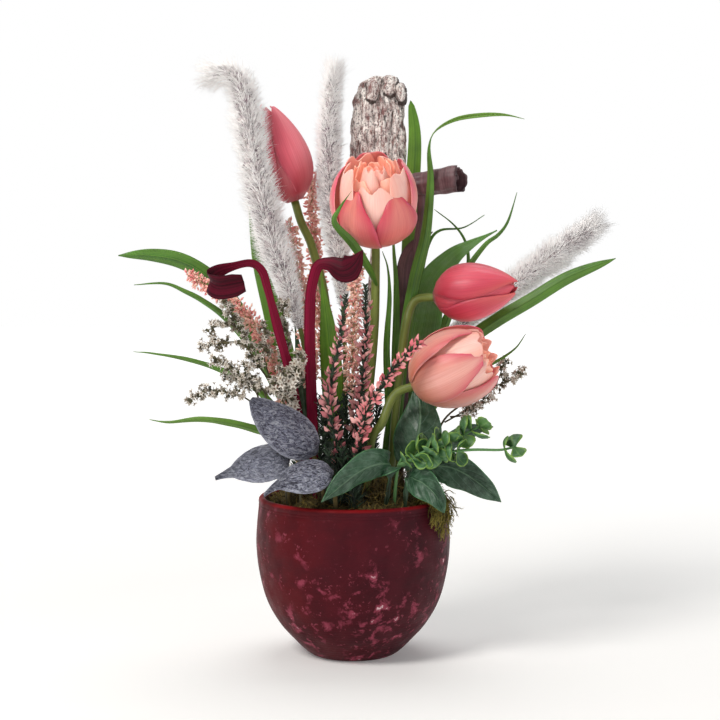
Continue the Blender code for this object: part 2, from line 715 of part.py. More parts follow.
# Grasses: tufts of blades on one foot
GRASSES = {
    # name: root, then each blade's path, half width, outline and first and last side directions
    "grass_left": ((-33, 16), (
        (((-38, 163, 15), (-51, 195, 12), (-65, 220, 10), (-79, 242, 8), (-92, 260, 7), (-106, 274, 6),
          (-124, 284, 6), (-145, 288, 6), (-168, 288, 6)), 6.2, broad_grass_outline, (0.7, 0, 0.7), (0.3, -0.3, 0.9)),
        (((-40, 163, 13), (-55, 192, 6), (-70, 218, 2), (-90, 242, 0), (-107, 255, -1), (-120, 262, -2),
          (-135, 268, -2), (-157, 267, -2)), 3.4, grass_outline, (0.7, 0, 0.7), (0.3, -0.3, 0.9)),
        (((-42, 158, 12), (-66, 189, 4), (-81, 199, 0), (-101, 208, -2), (-122, 214, -3), (-146, 218, -3),
          (-158, 219, -3)), 2.8, grass_outline, (0.5, 0, 0.8), (0.1, -0.3, 0.9)),
        (((-42, 147, 10), (-53, 158, 4), (-68, 162, 2), (-87, 167, 0), (-110, 170, -1), (-133, 168, -1),
          (-147, 170, -1)), 3.3, grass_outline, (0.2, -0.2, 0.9), (0.1, -0.3, 0.9)))),
    "grass_centre": ((25, 3), (
        (((31, 162, 3), (37, 227, 2), (44, 270, -1), (51, 299, -5), (54, 324, -8), (55, 345, -9), (54, 365, -9),
          (59, 377, -9), (73, 385, -9), (92, 388, -9), (108, 388, -9), (122, 385, -10)), 4.6, folded_grass_outline,
         (1, 0, 0), (0.3, -0.4, 0.9)),
        (((26, 170, 1), (24, 220, 0), (26, 256, 0), (25, 278, -1), (21, 291, -2)), 3.0, grass_outline, (1, 0, 0),
         (0.9, -0.3, 0)),
        (((29, 170, 5), (31, 235, 7), (31, 267, 10), (29, 296, 12), (29, 314, 14)), 3.2, grass_outline, (1, 0, 0),
         (1, 0.2, 0)))),
    "grass_right": ((43, 9), (
        (((45, 162, 12), (54, 206, 14), (67, 240, 13), (79, 273, 12), (94, 295, 10), (104, 303, 9), (111, 313, 8),
          (117, 333, 6)), 3.2, grass_outline, (0.9, 0, -0.3), (0.9, 0, -0.4)),
        (((47, 162, 12), (58, 196, 12), (81, 225, 10), (102, 241, 9), (127, 256, 8), (155, 273, 8),
          (188, 286, 8)), 5.0, broad_grass_outline, (0.8, 0, -0.5), (0.4, -0.2, -0.9)),
        (((48, 158, 11), (66, 190, 7), (88, 205, 5), (101, 211, 3), (111, 217, 1), (118, 223, 0),
          (124, 232, -1)), 2.2, grass_outline, (0.7, 0, -0.6), (0.7, -0.2, -0.7)))),
    "grass_back": ((24, 42), (
        (((31, 162, 44), (41, 227, 44), (48, 270, 42), (54, 296, 40), (62, 306, 38), (79, 308, 37),
          (94, 317, 36)), 2.2, grass_outline, (1, 0, 0), (0.3, -0.2, -0.9)),
        (((36, 162, 44), (55, 220, 42), (74, 258, 40), (82, 278, 39), (81, 296, 38), (73, 309, 36),
          (58, 321, 35)), 2.4, grass_outline, (1, 0, 0), (0.8, 0, 0.6)))),
}


def make_grasses():
    for name, (root, blades) in GRASSES.items():
        foot = rooted(*root)
        crown = foot + Vector((0, 0, 34 * MM))
        pieces = [tube("foot", [foot, crown], (2.2, 2.2, 1.4), 2, 6)]
        hole([foot, foot + Vector((0, 0, 50 * MM))], 2.2)
        start = foot + Vector((0, 0, 24 * MM))
        for path, half_width, outline, first_side, last_side in blades:
            line = [start, *[spot(*p) for p in path]]
            pieces.append(leaf("blade", line, half_width, outline, (first_side, last_side), 0.35,
                               rows=len(path) + 1))
        fuse(name, pieces, LEAF_GREEN)


OUTLINES = {"tulip": tulip_leaf_outline, "oval": oval_outline, "blunt": blunt_outline}
SINGLE_LEAVES = {
    # name: root, path, half width, outline, first side, last side, cup
    "leaf_upright": ((18, 30), ((24, 155, 29), (33, 206, 28), (37, 256, 28), (40, 299, 28), (43, 345, 28),
                                (44, 374, 28), (41, 398, 28)), 5.4, "blunt", RIGHT, RIGHT, 0.2),
    "leaf_broad": ((45, 21), ((46, 155, 22), (45, 206, 22), (49, 238, 22), (56, 267, 22), (70, 286, 22),
                              (84, 296, 21), (103, 306, 19)), 15, "tulip", RIGHT, (0.6, 0, -0.8), -0.1),
    "leaf_dark_left": ((-30, 4), ((-33, 159, 7), (-35, 184, 9), (-39, 217, 11), (-42, 240, 11)), 5.5, "tulip",
                       RIGHT, RIGHT, 0.2),
    "leaf_behind_plume": ((-24, 22), ((-32, 159, 20), (-45, 199, 20), (-58, 249, 20), (-69, 288, 19),
                                      (-75, 326, 18)), 8, "tulip", RIGHT, RIGHT, 0.2),
    "base_leaf_front": ((20, -42), ((27, 132, -50), (21, 138, -57), (7, 134, -65), (-8, 123, -73),
                                    (-23, 110, -78)), 11, "oval", (-0.4, -0.4, 0.8), (-0.5, -0.4, 0.75), 0.2),
    "base_leaf_rim": ((36, -42), ((39, 125, -49), (46, 126, -59), (54, 121, -67), (61, 113, -73),
                                  (66, 102, -76)), 10.5, "oval", (0.6, -0.45, 0.6), (0.85, -0.3, 0.4), 0.2),
    "base_leaf_right": ((43, -24), ((53, 132, -33), (66, 136, -40), (80, 131, -43), (93, 122, -44),
                                    (107, 110, -43)), 13, "oval", (0.2, -0.35, 0.9), (0.5, -0.35, 0.8), 0.2),
    "base_leaf_upright": ((36, -20), ((41, 134, -22), (45, 150, -22), (48, 166, -18), (48, 180, -12),
                                      (45, 193, -6)), 17, "oval", RIGHT, RIGHT, 0.2),
    "base_leaf_back": ((49, -7), ((57, 140, -7), (68, 154, -7), (84, 162, -7), (101, 165, -6)), 9, "oval",
                       (0, -0.5, 0.85), (0, -0.5, 0.85), 0.2),
}


def make_single_leaves():
    for name, (root, path, half_width, outline, first_side, last_side, cup) in SINGLE_LEAVES.items():
        line = [rooted(*root), *[spot(*p) for p in path]]
        hole(line, STALK_HALF_WIDTH / MM + 0.2)
        dark = name.startswith("base") or "dark" in name
        stalk = BASE_STALK if name.startswith("base") else STALK
        leaf(name, line, half_width, OUTLINES[outline], (first_side, first_side, last_side), cup, rows=8,
             stalk=stalk, finish=LEAF_DARK if dark else LEAF_GREEN)


# Sprays: stems with side branches that carry small repeats
def branch_pieces(root, path, radius, twigs):
    """The main stem and its twigs as tubes, and the lines that carry the repeats."""
    main = [rooted(*root), *[spot(*p) for p in path]]
    hole(main, radius)
    pieces = [tube("twig", main, (radius, radius, radius * 0.8, radius * 0.5), 6, 4)]
    lines = [main]
    for twig in twigs:
        line = [spot(*p) for p in twig]
        lines.append(line)
        pieces.append(tube("twig", line, (radius * 0.8, radius * 0.5), 2, 4))
    return pieces, lines


def ringed(line, spacing, skip):
    """Points, directions and a sideways direction that turns by the golden angle, along a path after skip."""
    length = sum((b - a).length for a, b in zip(line, line[1:]))
    count = max(2, round(length / (spacing * MM)))
    path = smooth_path(line, count)
    for k in range(count + 1):
        if k / count < skip:
            continue
        ahead = (path[min(count, k + 1)] - path[max(0, k - 1)]).normalized()
        side = ahead.orthogonal().normalized()
        side.rotate(Matrix.Rotation(k * GOLDEN_ANGLE, 3, ahead))
        yield path[k], ahead, side, k / count


STATICE = {
    # name: root, main path, twigs
    "statice_left": ((-37, -13), ((-42, 162, -18), (-55, 190, -24), (-68, 209, -27), (-77, 224, -28),
                                  (-82, 238, -29), (-92, 254, -30)),
                     (((-75, 221, -28), (-84, 226, -30), (-108, 224, -32)),
                      ((-80, 233, -29), (-90, 239, -31), (-101, 236, -33)),
                      ((-60, 199, -25), (-64, 216, -26), (-63, 236, -24)),
                      ((-45, 170, -20), (-49, 210, -26), (-50, 254, -34)))),
    "statice_low": ((-46, -20), ((-52, 158, -24), (-66, 176, -28), (-80, 187, -30), (-95, 190, -32),
                                 (-107, 191, -33), (-116, 184, -34)),
                    (((-62, 171, -27), (-74, 196, -30), (-98, 214, -34)),
                     ((-60, 168, -27), (-64, 190, -31), (-78, 208, -36)),
                     ((-70, 179, -28), (-70, 192, -26), (-90, 201, -24)))),
    "statice_front": ((-36, -34), ((-40, 160, -38), (-44, 175, -39), (-46, 189, -45), (-49, 202, -53)),
                      (((-45, 180, -41), (-42, 196, -47), (-40, 214, -52)),
                       ((-45, 181, -41), (-52, 188, -44), (-58, 195, -47)))),
    "statice_right": ((53, 0), ((61, 160, 2), (78, 181, 6), (96, 192, 6), (110, 197, 5), (121, 203, 4)),
                      (((102, 194, 6), (106, 203, 6), (108, 211, 6)), ((66, 168, 3), (80, 176, -2), (98, 187, -6)),
                       ((70, 172, 4), (78, 173, 0), (86, 178, -3)))),
}


def make_statice():
    for name, (root, path, twigs) in STATICE.items():
        pieces, lines = branch_pieces(root, path, 1.2, twigs)
        for number, line in enumerate(lines):
            skip = 0.75 if number == 0 else 0.42
            for at, ahead, side, _ in ringed(line, 8.5, skip):
                pieces.append(floret(at, side + ahead * 0.6, 6, 4.2))
        fuse(name, pieces, STATICE_WHITE)


PINK_SPRAYS = {
    # name: root, path, share of the path before the first bud
    "pink_spray_left": ((-40, 4), ((-42, 161, 0), (-54, 205, -8), (-66, 232, -11), (-80, 250, -13), (-97, 262, -14),
                                   (-117, 273, -15)), 0.42),
    "pink_spray_middle": ((-20, 0), ((-26, 159, 1), (-32, 213, 1), (-36, 256, 2), (-41, 288, 3), (-45, 309, 4)),
                          0.5),
    "pink_spray_back": ((-14, 38), ((-17, 159, 40), (-22, 227, 42), (-25, 270, 43), (-28, 303, 43),
                                    (-30, 344, 43)), 0.5),
    "pink_spray_centre": ((0, 6), ((-1, 159, 6), (0, 220, 5), (1, 253, 4), (3, 287, 3)), 0.5),
}


def make_pink_sprays():
    for name, (root, path, skip) in PINK_SPRAYS.items():
        pieces, lines = branch_pieces(root, path, 1.2, ())
        for at, ahead, side, share in ringed(lines[0], 6.9, skip):
            pieces.append(spindle(at, side + ahead * 0.5, 10.5 - 4.5 * share, 2.9))
        fuse(name, pieces, SPRAY_PINK)


HEATHERS = {
    # name: root, path
    "heather_left": ((-8, -40), ((-12, 148, -42), (-17, 177, -45), (-16, 196, -45), (-13, 212, -43),
                                 (-9, 228, -42), (-7, 245, -40), (-5, 259, -38))),
    "heather_middle": ((-1, -20), ((2, 160, -24), (6, 191, -28), (8, 215, -29), (9, 232, -29), (9, 250, -29),
                                   (9, 266, -29))),
    "heather_right": ((0, -47), ((3, 144, -49), (9, 175, -55), (14, 184, -58), (22, 197, -62), (30, 208, -65),
                                 (39, 217, -67), (47, 224, -68))),
}


def make_heathers():
    for name, (root, path) in HEATHERS.items():
        pieces, lines = branch_pieces(root, path, 1.3, ())
        for at, ahead, side, share in ringed(lines[0], 5.3, 0.22):
            pieces.append(spindle(at, side + ahead * 0.9, 13 - 5 * share, 2.7))
        fuse(name, pieces, HEATHER_PINK)


# The pale eucalyptus sprig: a rooted stem and two that branch from it
EUCALYPTUS_ROOT = (28, -35)
EUCALYPTUS_LONG = 1
EUCALYPTUS_STEMS = (
    ((33, 137, -50), (45, 145, -58), (57, 152, -59), (75, 157, -58), (91, 165, -56)),
    ((33, 136, -50), (45, 141, -60), (58, 145, -63), (84, 148, -63), (106, 148, -60), (116, 150, -58)),
    ((33, 137, -50), (40, 140, -62), (50, 146, -67), (66, 151, -68)),
)


def make_eucalyptus():
    pieces = []
    for number, path in enumerate(EUCALYPTUS_STEMS):
        line = [spot(*p) for p in path]
        skip = 0.3
        if number == 0:
            line = [rooted(*EUCALYPTUS_ROOT), *line]
            hole(line, 1.3)
            skip = 0.5
        pieces.append(tube("twig", line, (1.3, 1.1, 0.8), 5, 4))
        for at, ahead, side, share in ringed(line, 9, skip):
            if number != EUCALYPTUS_LONG or not 0.55 < share < 0.85:
                pieces.append(small_leaf(at, side + ahead * 0.5, ahead, 12, 5.2, 0.9))
    fuse("eucalyptus_sprig", pieces, EUCALYPTUS)


# Grey seed pods
POD_SHAPES = {"plump": (0.2, 0.66, 0.9, 1, 1, 0.94, 0.82, 0.64, 0.42, 0.12),
              "beaked": (0.2, 0.72, 0.95, 1, 0.96, 0.82, 0.58, 0.28, 0.17, 0.1)}
PODS = {
    # name: blunt end, beaked end, half width, half thickness, shape, bend, the way its broad side faces, its root
    "seed_pod_top": ((-26, 145, -54), (-75, 183, -53), 14, 9, "plump", 2, (0.2, -0.95, 0.2), (-18, -44)),
    "seed_pod_left": ((-45, 143, -42), (-100, 129, -46), 13, 8, "beaked", -2, (0, -0.8, 0.6), (-46, -30)),
    "seed_pod_front": ((-14, 132, -66), (-66, 122, -71), 11.5, 7, "beaked", -8, (-0.1, -0.8, 0.6), (-12, -52)),
}


def make_pods():
    for name, (blunt, beak, half_width, half_thickness, shape, hook, face, root) in PODS.items():
        start, stop = spot(*blunt), spot(*beak)
        along = (stop - start).normalized()
        normal = (Vector(face) - along * along.dot(Vector(face))).normalized()
        side = along.cross(normal)
        length = (stop - start).length
        pod = tube("pod", [Vector(), Vector((length / 2, 0, 0)), Vector((length, 0, 0))],
                   [r * half_width for r in POD_SHAPES[shape]], 10, 8)

        def keeled(p):
            """Flattens the round blank, draws its long edges out into keels and bends its beak."""
            edge = abs(p.z) / (half_width * MM)
            thin = half_thickness / half_width * (1.1 - 0.45 * edge)
            bend = hook * MM * max(0, p.x / length - 0.6) ** 2 / 0.16
            return start + along * p.x + side * (p.z * 1.05 + bend) + normal * p.y * thin

        deform(pod, keeled)
        foot = rooted(*root)
        line = [foot, foot.lerp(start, 0.6) + Vector((0, 0, 4 * MM)), start + along * 5 * MM]
        hole([foot, foot.lerp(start, 0.6) + Vector((0, 0, 4 * MM)), start + Vector((0, 0, 20 * MM))], 1.6)
        fuse(name, [pod, tube("stalk", line, (1.6, 1.6), 4, 4)], GREY_POD)


def build():
    make_pot()
    foam = make_foam()
    moss = make_moss()
    make_tulips()
    make_plumes()
    make_bark_pod()
    make_burgundy_leaves()
    make_mauve_leaves()
    make_grasses()
    make_single_leaves()
    make_statice()
    make_pink_sprays()
    make_heathers()
    make_eucalyptus()
    make_pods()
    cut_holes(moss, foam)


clear_scene()
arrangement = bpy.data.collections.new("tulip_arrangement")
bpy.context.scene.collection.children.link(arrangement)

POT_GLAZE = material("pot_glaze", (0.16, 0.02, 0.03), 0.55)
FOAM = material("foam", (0.28, 0.33, 0.2), 0.95)
MOSS = material("moss", (0.09, 0.08, 0.03), 0.95)
PETAL_PINK = material("petal_pink", (0.75, 0.12, 0.16), 0.5)
PETAL_PEACH = material("petal_peach", (0.85, 0.38, 0.3), 0.5)
STEM_GREEN = material("stem_green", (0.13, 0.22, 0.05), 0.5)
LEAF_GREEN = material("leaf_green", (0.07, 0.2, 0.03), 0.5)
LEAF_DARK = material("leaf_dark", (0.03, 0.09, 0.04), 0.45)
PLUME_FUR = material("plume_fur", (0.66, 0.62, 0.6), 0.9)
BARK = material("bark", (0.5, 0.43, 0.41), 0.85)
BURGUNDY = material("burgundy_leaf", (0.3, 0.01, 0.06), 0.45)
MAUVE = material("mauve_leaf", (0.14, 0.07, 0.08), 0.5)
STATICE_WHITE = material("statice_white", (0.6, 0.55, 0.48), 0.8)
SPRAY_PINK = material("spray_pink", (0.8, 0.42, 0.36), 0.8)
HEATHER_PINK = material("heather_pink", (0.7, 0.28, 0.26), 0.7)
EUCALYPTUS = material("eucalyptus", (0.2, 0.33, 0.12), 0.6)
GREY_POD = material("grey_pod", (0.26, 0.25, 0.3), 0.8)

build()
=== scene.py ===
"""The finished look of the tulip arrangement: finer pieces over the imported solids, their materials, a pale
floor, soft light and the camera.

Points are (across, up, depth) in millimetres, read as in the part's source: the first two on the upright
plane through the pot's axis, where the point shows from the viewer's eye, and depth behind that plane.

Each piece keeps a place for every vertex, which its material reads: across the shape from -1 to 1, along it
from 0 to 1, and a tint that differs from one small shape to the next.
"""

import math

import bpy
import numpy as np
from mathutils import Matrix, Vector, noise


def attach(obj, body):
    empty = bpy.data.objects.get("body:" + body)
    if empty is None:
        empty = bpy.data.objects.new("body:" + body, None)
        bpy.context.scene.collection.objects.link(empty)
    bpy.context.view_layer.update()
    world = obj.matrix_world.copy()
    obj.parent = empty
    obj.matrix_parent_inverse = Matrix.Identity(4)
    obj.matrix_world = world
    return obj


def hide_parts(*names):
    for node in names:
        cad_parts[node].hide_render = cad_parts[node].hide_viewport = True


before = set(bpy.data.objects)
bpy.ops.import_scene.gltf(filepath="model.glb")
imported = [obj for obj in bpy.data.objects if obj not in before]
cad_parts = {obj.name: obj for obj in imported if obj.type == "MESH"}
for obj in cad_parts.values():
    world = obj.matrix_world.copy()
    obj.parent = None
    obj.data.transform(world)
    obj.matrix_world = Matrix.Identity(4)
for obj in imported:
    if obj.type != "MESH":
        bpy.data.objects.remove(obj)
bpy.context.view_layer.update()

MM = 0.001
EYE = Vector((0.005, -1.270, 0.311))
EYE_PITCH = math.radians(4.41)
LENS = 88.6
random = np.random.default_rng(11)
GOLDEN_ANGLE = math.radians(137.508)

# The part's own sizes, in millimetres. The pot's are (radius, height) points.
POT_FLOOR = 9
POT_INSIDE = [(30, 9), (46, 21), (56, 38), (61.5, 58), (64, 80), (62.8, 110)]
POT_LIP = [(63.0, 112.2), (63.6, 113.9), (64.8, 114.9), (66.2, 115.0), (67.3, 114.5), (68.0, 113.4),
           (68.2, 111.8), (68.1, 110.6), (67.7, 110.1), (68.1, 109.6), (68.2, 108.7), (67.8, 108.2),
           (68.2, 107.7), (68.3, 106.4)]
POT_OUTSIDE = [(69.4, 95), (70, 80), (68, 61), (62.5, 40), (53, 23), (41, 9.5)]
POT_FOOT = [(38.0, 6.4), (34.4, 3.2), (31.4, 1.2), (29.4, 0.3), (28.0, 0.0)]
MOSS_EDGE = 110
MOSS_CROWN = 124
MOSS_RADIUS = 61
STALK_HALF_WIDTH = 1.5
STALK = 32
BASE_STALK = 34
ROOT_IN_MOSS = 99
ROOT_IN_FOAM = 74

RIGHT = (1, 0, 0)
UP = (0, 0, 1)
AWAY = (0, 1, 0)


# Points, paths and directions
def spot(across, up, depth):
    """The point that shows at (across, up) on the plane through the pot's axis and lies depth behind it."""
    on_plane = Vector((across * MM, 0, up * MM))
    reach = (depth * MM - EYE.y) / -EYE.y
    return EYE + (on_plane - EYE) * reach


def rooted(x, y, floor=ROOT_IN_MOSS):
    return Vector((x * MM, y * MM, floor * MM))


def spots(points):
    return [spot(*p) for p in points]


def smooth_path(points, count):
    """count + 1 points at even distances along a smooth curve through the given points."""
    knots = np.array([tuple(p) for p in points])
    ends = np.vstack([2 * knots[0] - knots[1], knots, 2 * knots[-1] - knots[-2]])
    t = np.linspace(0, 1, 12, endpoint=False)[:, None]
    runs = []
    for before, start, stop, after in zip(ends, ends[1:], ends[2:], ends[3:]):
        bend = (2 * before - 5 * start + 4 * stop - after) * t**2
        twist = (3 * start - before - 3 * stop + after) * t**3
        runs.append(0.5 * (2 * start + (stop - before) * t + bend + twist))
    fine = np.vstack([*runs, knots[-1:]])
    steps = np.linalg.norm(np.diff(fine, axis=0), axis=1)
    lengths = np.concatenate([[0], np.cumsum(steps)])
    want = np.linspace(0, lengths[-1], count + 1)
    return np.column_stack([np.interp(want, lengths, fine[:, axis]) for axis in range(3)])


def path_length(path):
    return np.linalg.norm(np.diff(path, axis=0), axis=1).sum()


def spread_evenly(values, s):
    """The values at shares s along a list of evenly spaced ones."""
    return np.interp(s, np.linspace(0, 1, len(values)), values)


def unit(vectors):
    return vectors / (np.linalg.norm(vectors, axis=-1, keepdims=True) + 1e-12)


def headings(path):
    return unit(np.gradient(path, axis=0))


def carried_sides(path, first=None):
    """A sideways direction at each point of a path, turning as little as it can."""
    tangents = headings(path)
    side = np.array(first if first is not None else Vector(tangents[0]).orthogonal())
    sides = []
    for tangent in tangents:
        side = unit(side - tangent * side.dot(tangent))
        sides.append(side)
    return np.array(sides)


def facing(ahead, hint):
    """Matrices whose rows are the axes of shapes that point ahead along their own z."""
    z = unit(ahead)
    x = unit(np.cross(np.broadcast_to(hint, z.shape), z))
    return np.stack([x, np.cross(z, x), z], axis=1)


def smooth_step(low, high, value):
    t = np.clip((value - low) / (high - low), 0, 1)
    return t * t * (3 - 2 * t)


def rough_field(points, scale, seed=0.0, octaves=4):
    """A value of fractal noise at each point, between about -1 and 1."""
    shift = Vector((seed, seed * 1.7, -seed))
    return np.array([noise.fractal(Vector(p) * scale + shift, 0.9, 2.1, octaves) for p in points])


# Meshes from small shapes
class Shapes:
    """Collects small shapes and makes one mesh of them."""

    def __init__(self):
        self.points, self.faces, self.places, self.finishes = [], [], [], []
        self.total = 0

    def add(self, points, faces, across, along, tint=0.5, finish=0):
        count = len(points)
        place = np.empty((count, 3))
        place[:, 0], place[:, 1], place[:, 2] = across, along, tint
        self.points.append(points)
        self.faces.append(np.asarray(faces) + self.total)
        self.places.append(place)
        self.finishes.append(np.full(len(faces), finish))
        self.total += count

    def set_tint(self, values, rest):
        """Give the last shape's grid of points their own tints, and its other points the rest's."""
        self.places[-1][:, 2] = rest
        self.places[-1][:values.size, 2] = values.ravel()

    def piece(self, name, finishes, nodes, sharp=None):
        mesh = bpy.data.meshes.new(name)
        mesh.from_pydata(np.vstack(self.points), [], np.vstack(self.faces))
        place = mesh.attributes.new("place", "FLOAT_VECTOR", "POINT")
        place.data.foreach_set("vector", np.vstack(self.places).ravel())
        for finish in finishes:
            mesh.materials.append(finish)
        mesh.polygons.foreach_set("material_index", np.concatenate(self.finishes))
        mesh.shade_smooth()
        if sharp:
            mesh.set_sharp_from_angle(angle=math.radians(sharp))
        obj = bpy.data.objects.new(name, mesh)
        bpy.context.scene.collection.objects.link(obj)
        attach(obj, "root")
        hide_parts(*nodes)
        return obj


def grid_faces(rows, columns, closed=False):
    """Triangles over a grid of points. A closed grid joins its last column to its first."""
    index = np.arange(rows * columns).reshape(rows, columns)
    if closed:
        index = np.column_stack([index, index[:, 0]])
    a, b, c, d = index[:-1, :-1], index[:-1, 1:], index[1:, 1:], index[1:, :-1]
    low = np.stack([a, b, c], axis=-1).reshape(-1, 3)
    high = np.stack([a, c, d], axis=-1).reshape(-1, 3)
    return np.vstack([low, high])


def add_sheet(shapes, grid, thickness, tint=0.5, finish=0):
    """A thin closed sheet round a grid of middle points, thinner at its edge."""
    rows, columns = grid.shape[:2]
    normal = unit(np.cross(np.gradient(grid, axis=1), np.gradient(grid, axis=0)))
    border = np.minimum(np.arange(columns), np.arange(columns)[::-1])[None, :]
    ends = np.arange(rows)[::-1][:, None]
    half = thickness * MM / 2 * np.clip(0.4 + 0.3 * np.minimum(border, ends), 0, 1)[..., None]
    points = np.concatenate([(grid + normal * half).reshape(-1, 3), (grid - normal * half).reshape(-1, 3)])
    count = rows * columns
    front = grid_faces(rows, columns)
    index = np.arange(count).reshape(rows, columns)
    loop = np.concatenate([index[0, :-1], index[:-1, -1], index[-1, :0:-1], index[:0:-1, 0]])
    following = np.roll(loop, -1)
    rim = np.vstack([np.column_stack([following, loop, loop + count]),
                     np.column_stack([following, loop + count, following + count])])
    across = np.tile(np.linspace(-1, 1, columns), rows * 2)
    along = np.tile(np.repeat(np.linspace(0, 1, rows), columns), 2)
    shapes.add(points, np.vstack([front, front[:, ::-1] + count, rim]), across, along, tint, finish)


def capped_faces(rows, facets):
    """Faces over closed rings of points, with fans to two middle points that come after them."""
    near = np.arange(facets)
    far = near + (rows - 1) * facets
    start, stop = np.full(facets, rows * facets), np.full(facets, rows * facets + 1)
    caps = [np.column_stack([start, np.roll(near, -1), near]), np.column_stack([stop, far, np.roll(far, -1)])]
    return np.vstack([grid_faces(rows, facets, closed=True), *caps])


def tube_grid(path, radii, facets, first=None):
    """Rings of points round a path, and the directions that they stand in from it."""
    sides = carried_sides(path, first)
    others = np.cross(headings(path), sides)
    turns = np.arange(facets) * 2 * math.pi / facets
    out = (sides[:, None] * np.cos(turns)[None, :, None] + others[:, None] * np.sin(turns)[None, :, None])
    return path[:, None] + out * (radii * MM)[:, None, None], out


def add_tube(shapes, rings, tint=0.5, finish=0):
    """A closed tube through rings of points, with a cap at each end."""
    rows, facets = rings.shape[:2]
    points = np.vstack([rings.reshape(-1, 3), rings[0].mean(axis=0), rings[-1].mean(axis=0)])
    across = np.concatenate([np.tile(np.abs(np.linspace(-1, 1, facets)), rows), [0, 0]])
    along = np.concatenate([np.repeat(np.linspace(0, 1, rows), facets), [0, 1]])
    shapes.add(points, capped_faces(rows, facets), across, along, tint, finish)


def add_stem(shapes, points, radii, rows=40, facets=10, tint=0.5, finish=0):
    path = smooth_path(points, rows)
    rings, _ = tube_grid(path, spread_evenly(radii, np.linspace(0, 1, rows + 1)), facets)
    add_tube(shapes, rings, tint, finish)


def add_copies(shapes, form, origins, turns, sizes, tints, finish=0):
    """Copies of one small form, (points, faces, across, along), each placed, turned and sized."""
    points, faces, across, along = form
    sized = points[None] * np.asarray(sizes)[:, None] * MM
    placed = origins[:, None] + np.einsum("npi,nij->npj", sized, turns)
    many = len(origins)
    offsets = (np.arange(many) * len(points))[:, None, None]
    shapes.add(placed.reshape(-1, 3), (faces[None] + offsets).reshape(-1, 3), np.tile(across, many),
               np.tile(along, many), np.repeat(tints, len(points)), finish)


def add_hairs(shapes, roots, ahead, lengths, widths, tints, finish=0, bend=0):
    """Fine three-sided hairs, each swung from its direction by its bend."""
    tips = roots + (lengths * MM)[:, None] * (ahead + bend)
    corners = np.array([(math.cos(a), math.sin(a)) for a in (0, 2.1, 4.2)])
    out = np.einsum("ci,nij->ncj", corners, facing(ahead, UP)[:, :2])
    base = roots[:, None] + out * (widths * MM)[:, None, None]
    points = np.concatenate([base, tips[:, None]], axis=1)
    faces = np.array([(0, 1, 3), (1, 2, 3), (2, 0, 3), (0, 2, 1)])
    many = len(roots)
    faces = (faces[None] + (np.arange(many) * 4)[:, None, None]).reshape(-1, 3)
    shapes.add(points.reshape(-1, 3), faces, 0, np.tile((0, 0, 0, 1), many), np.repeat(tints, 4), finish)


# Small forms, one unit long along z
def bud_form(facets=5):
    """A pointed bud."""
    shares = np.array([0.05, 0.4, 0.8])
    widths = np.array([0.45, 1.0, 0.5])
    turns = np.arange(facets) * 2 * math.pi / facets
    rings = np.stack([np.outer(widths, np.cos(turns)), np.outer(widths, np.sin(turns)),
                      np.repeat(shares[:, None], facets, axis=1)], axis=-1)
    points = np.vstack([rings.reshape(-1, 3), (0, 0, -0.02), (0, 0, 1)])
    across = np.concatenate([np.tile(np.cos(turns), len(shares)), [0, 0]])
    along = np.concatenate([np.repeat(shares, facets), [0, 1]])
    return points, capped_faces(len(shares), facets), across, along


def bract_form():
    """A small pointed leaf with a keel, closed."""
    outline = [(0.0, 0.22), (0.2, 0.7), (0.45, 1.0), (0.75, 0.6)]
    points, across, along = [(0, 0, 0)], [0], [0]
    for share, wide in outline:
        lift = 0.5 * math.sin(share * 2.6)
        side = 0.55 * wide + lift
        points += [(-wide, side, share), (0, -0.25 + lift, share), (wide, side, share),
                   (0, 0.3 * wide + lift, share)]
        across += [-1, 0, 1, 0]
        along += [share] * 4
    points.append((0, 0.3, 1))
    across.append(0)
    along.append(1)
    faces = []
    for k in range(4):
        n = (k + 1) % 4
        faces.append((0, 1 + n, 1 + k))
        for row in range(3):
            a = 1 + row * 4
            faces += [(a + k, a + n, a + 4 + n), (a + k, a + 4 + n, a + 4 + k)]
        faces.append((13 + k, 13 + n, 17))
    return np.array(points, float), np.array(faces), np.array(across, float), np.array(along, float)


def star_form():
    """A tiny papery star flower on a pointed cup. Across is how far out a point is."""
    count = 10
    points, across, along = [(0, 0, 0.55), (0, 0, 0)], [0, 0], [1, 0]
    turns = [(math.cos(k * 2 * math.pi / count), math.sin(k * 2 * math.pi / count)) for k in range(count)]
    for k, (x, y) in enumerate(turns):
        far, height = (0.36, 0.82) if k % 2 else (1.0, 1.0)
        points.append((far * x, far * y, height))
        across.append(far)
        along.append(1)
    for x, y in turns:
        points.append((0.22 * x, 0.22 * y, 0.6))
        across.append(0.2)
        along.append(0.4)
    faces = []
    for k in range(count):
        here, after = 2 + k, 2 + (k + 1) % count
        faces += [(0, here, after), (here, here + count, after + count), (here, after + count, after),
                  (1, after + count, here + count)]
    return np.array(points, float), np.array(faces), np.array(across, float), np.array(along, float)


def spoon_form():
    """A rounded spoon-shaped leaf, closed and thin."""
    rows, columns = 7, 5
    v = np.linspace(0, 1, rows)
    wide = np.clip(0.16 + 0.9 * np.sin(math.pi * np.clip(v, 0, 1) ** 1.5) ** 0.75, 0.12, 1)
    wide[-1] = 0.35
    u = np.linspace(-1, 1, columns)
    grid = np.zeros((rows, columns, 3))
    grid[..., 0] = wide[:, None] * u[None, :]
    cup = 0.35 * (u[None, :] ** 2) * wide[:, None]
    grid[..., 1] = cup - 0.5 * np.sin(v * 2.2)[:, None] + 0.5 * v[:, None] ** 2
    grid[..., 2] = v[:, None] - 0.05 * (u[None, :] ** 2) * (v[:, None] ** 3)
    shapes = Shapes()
    add_sheet(shapes, grid, 0.12 / MM)
    return shapes.points[0], shapes.faces[0], shapes.places[0][:, 0], shapes.places[0][:, 1]


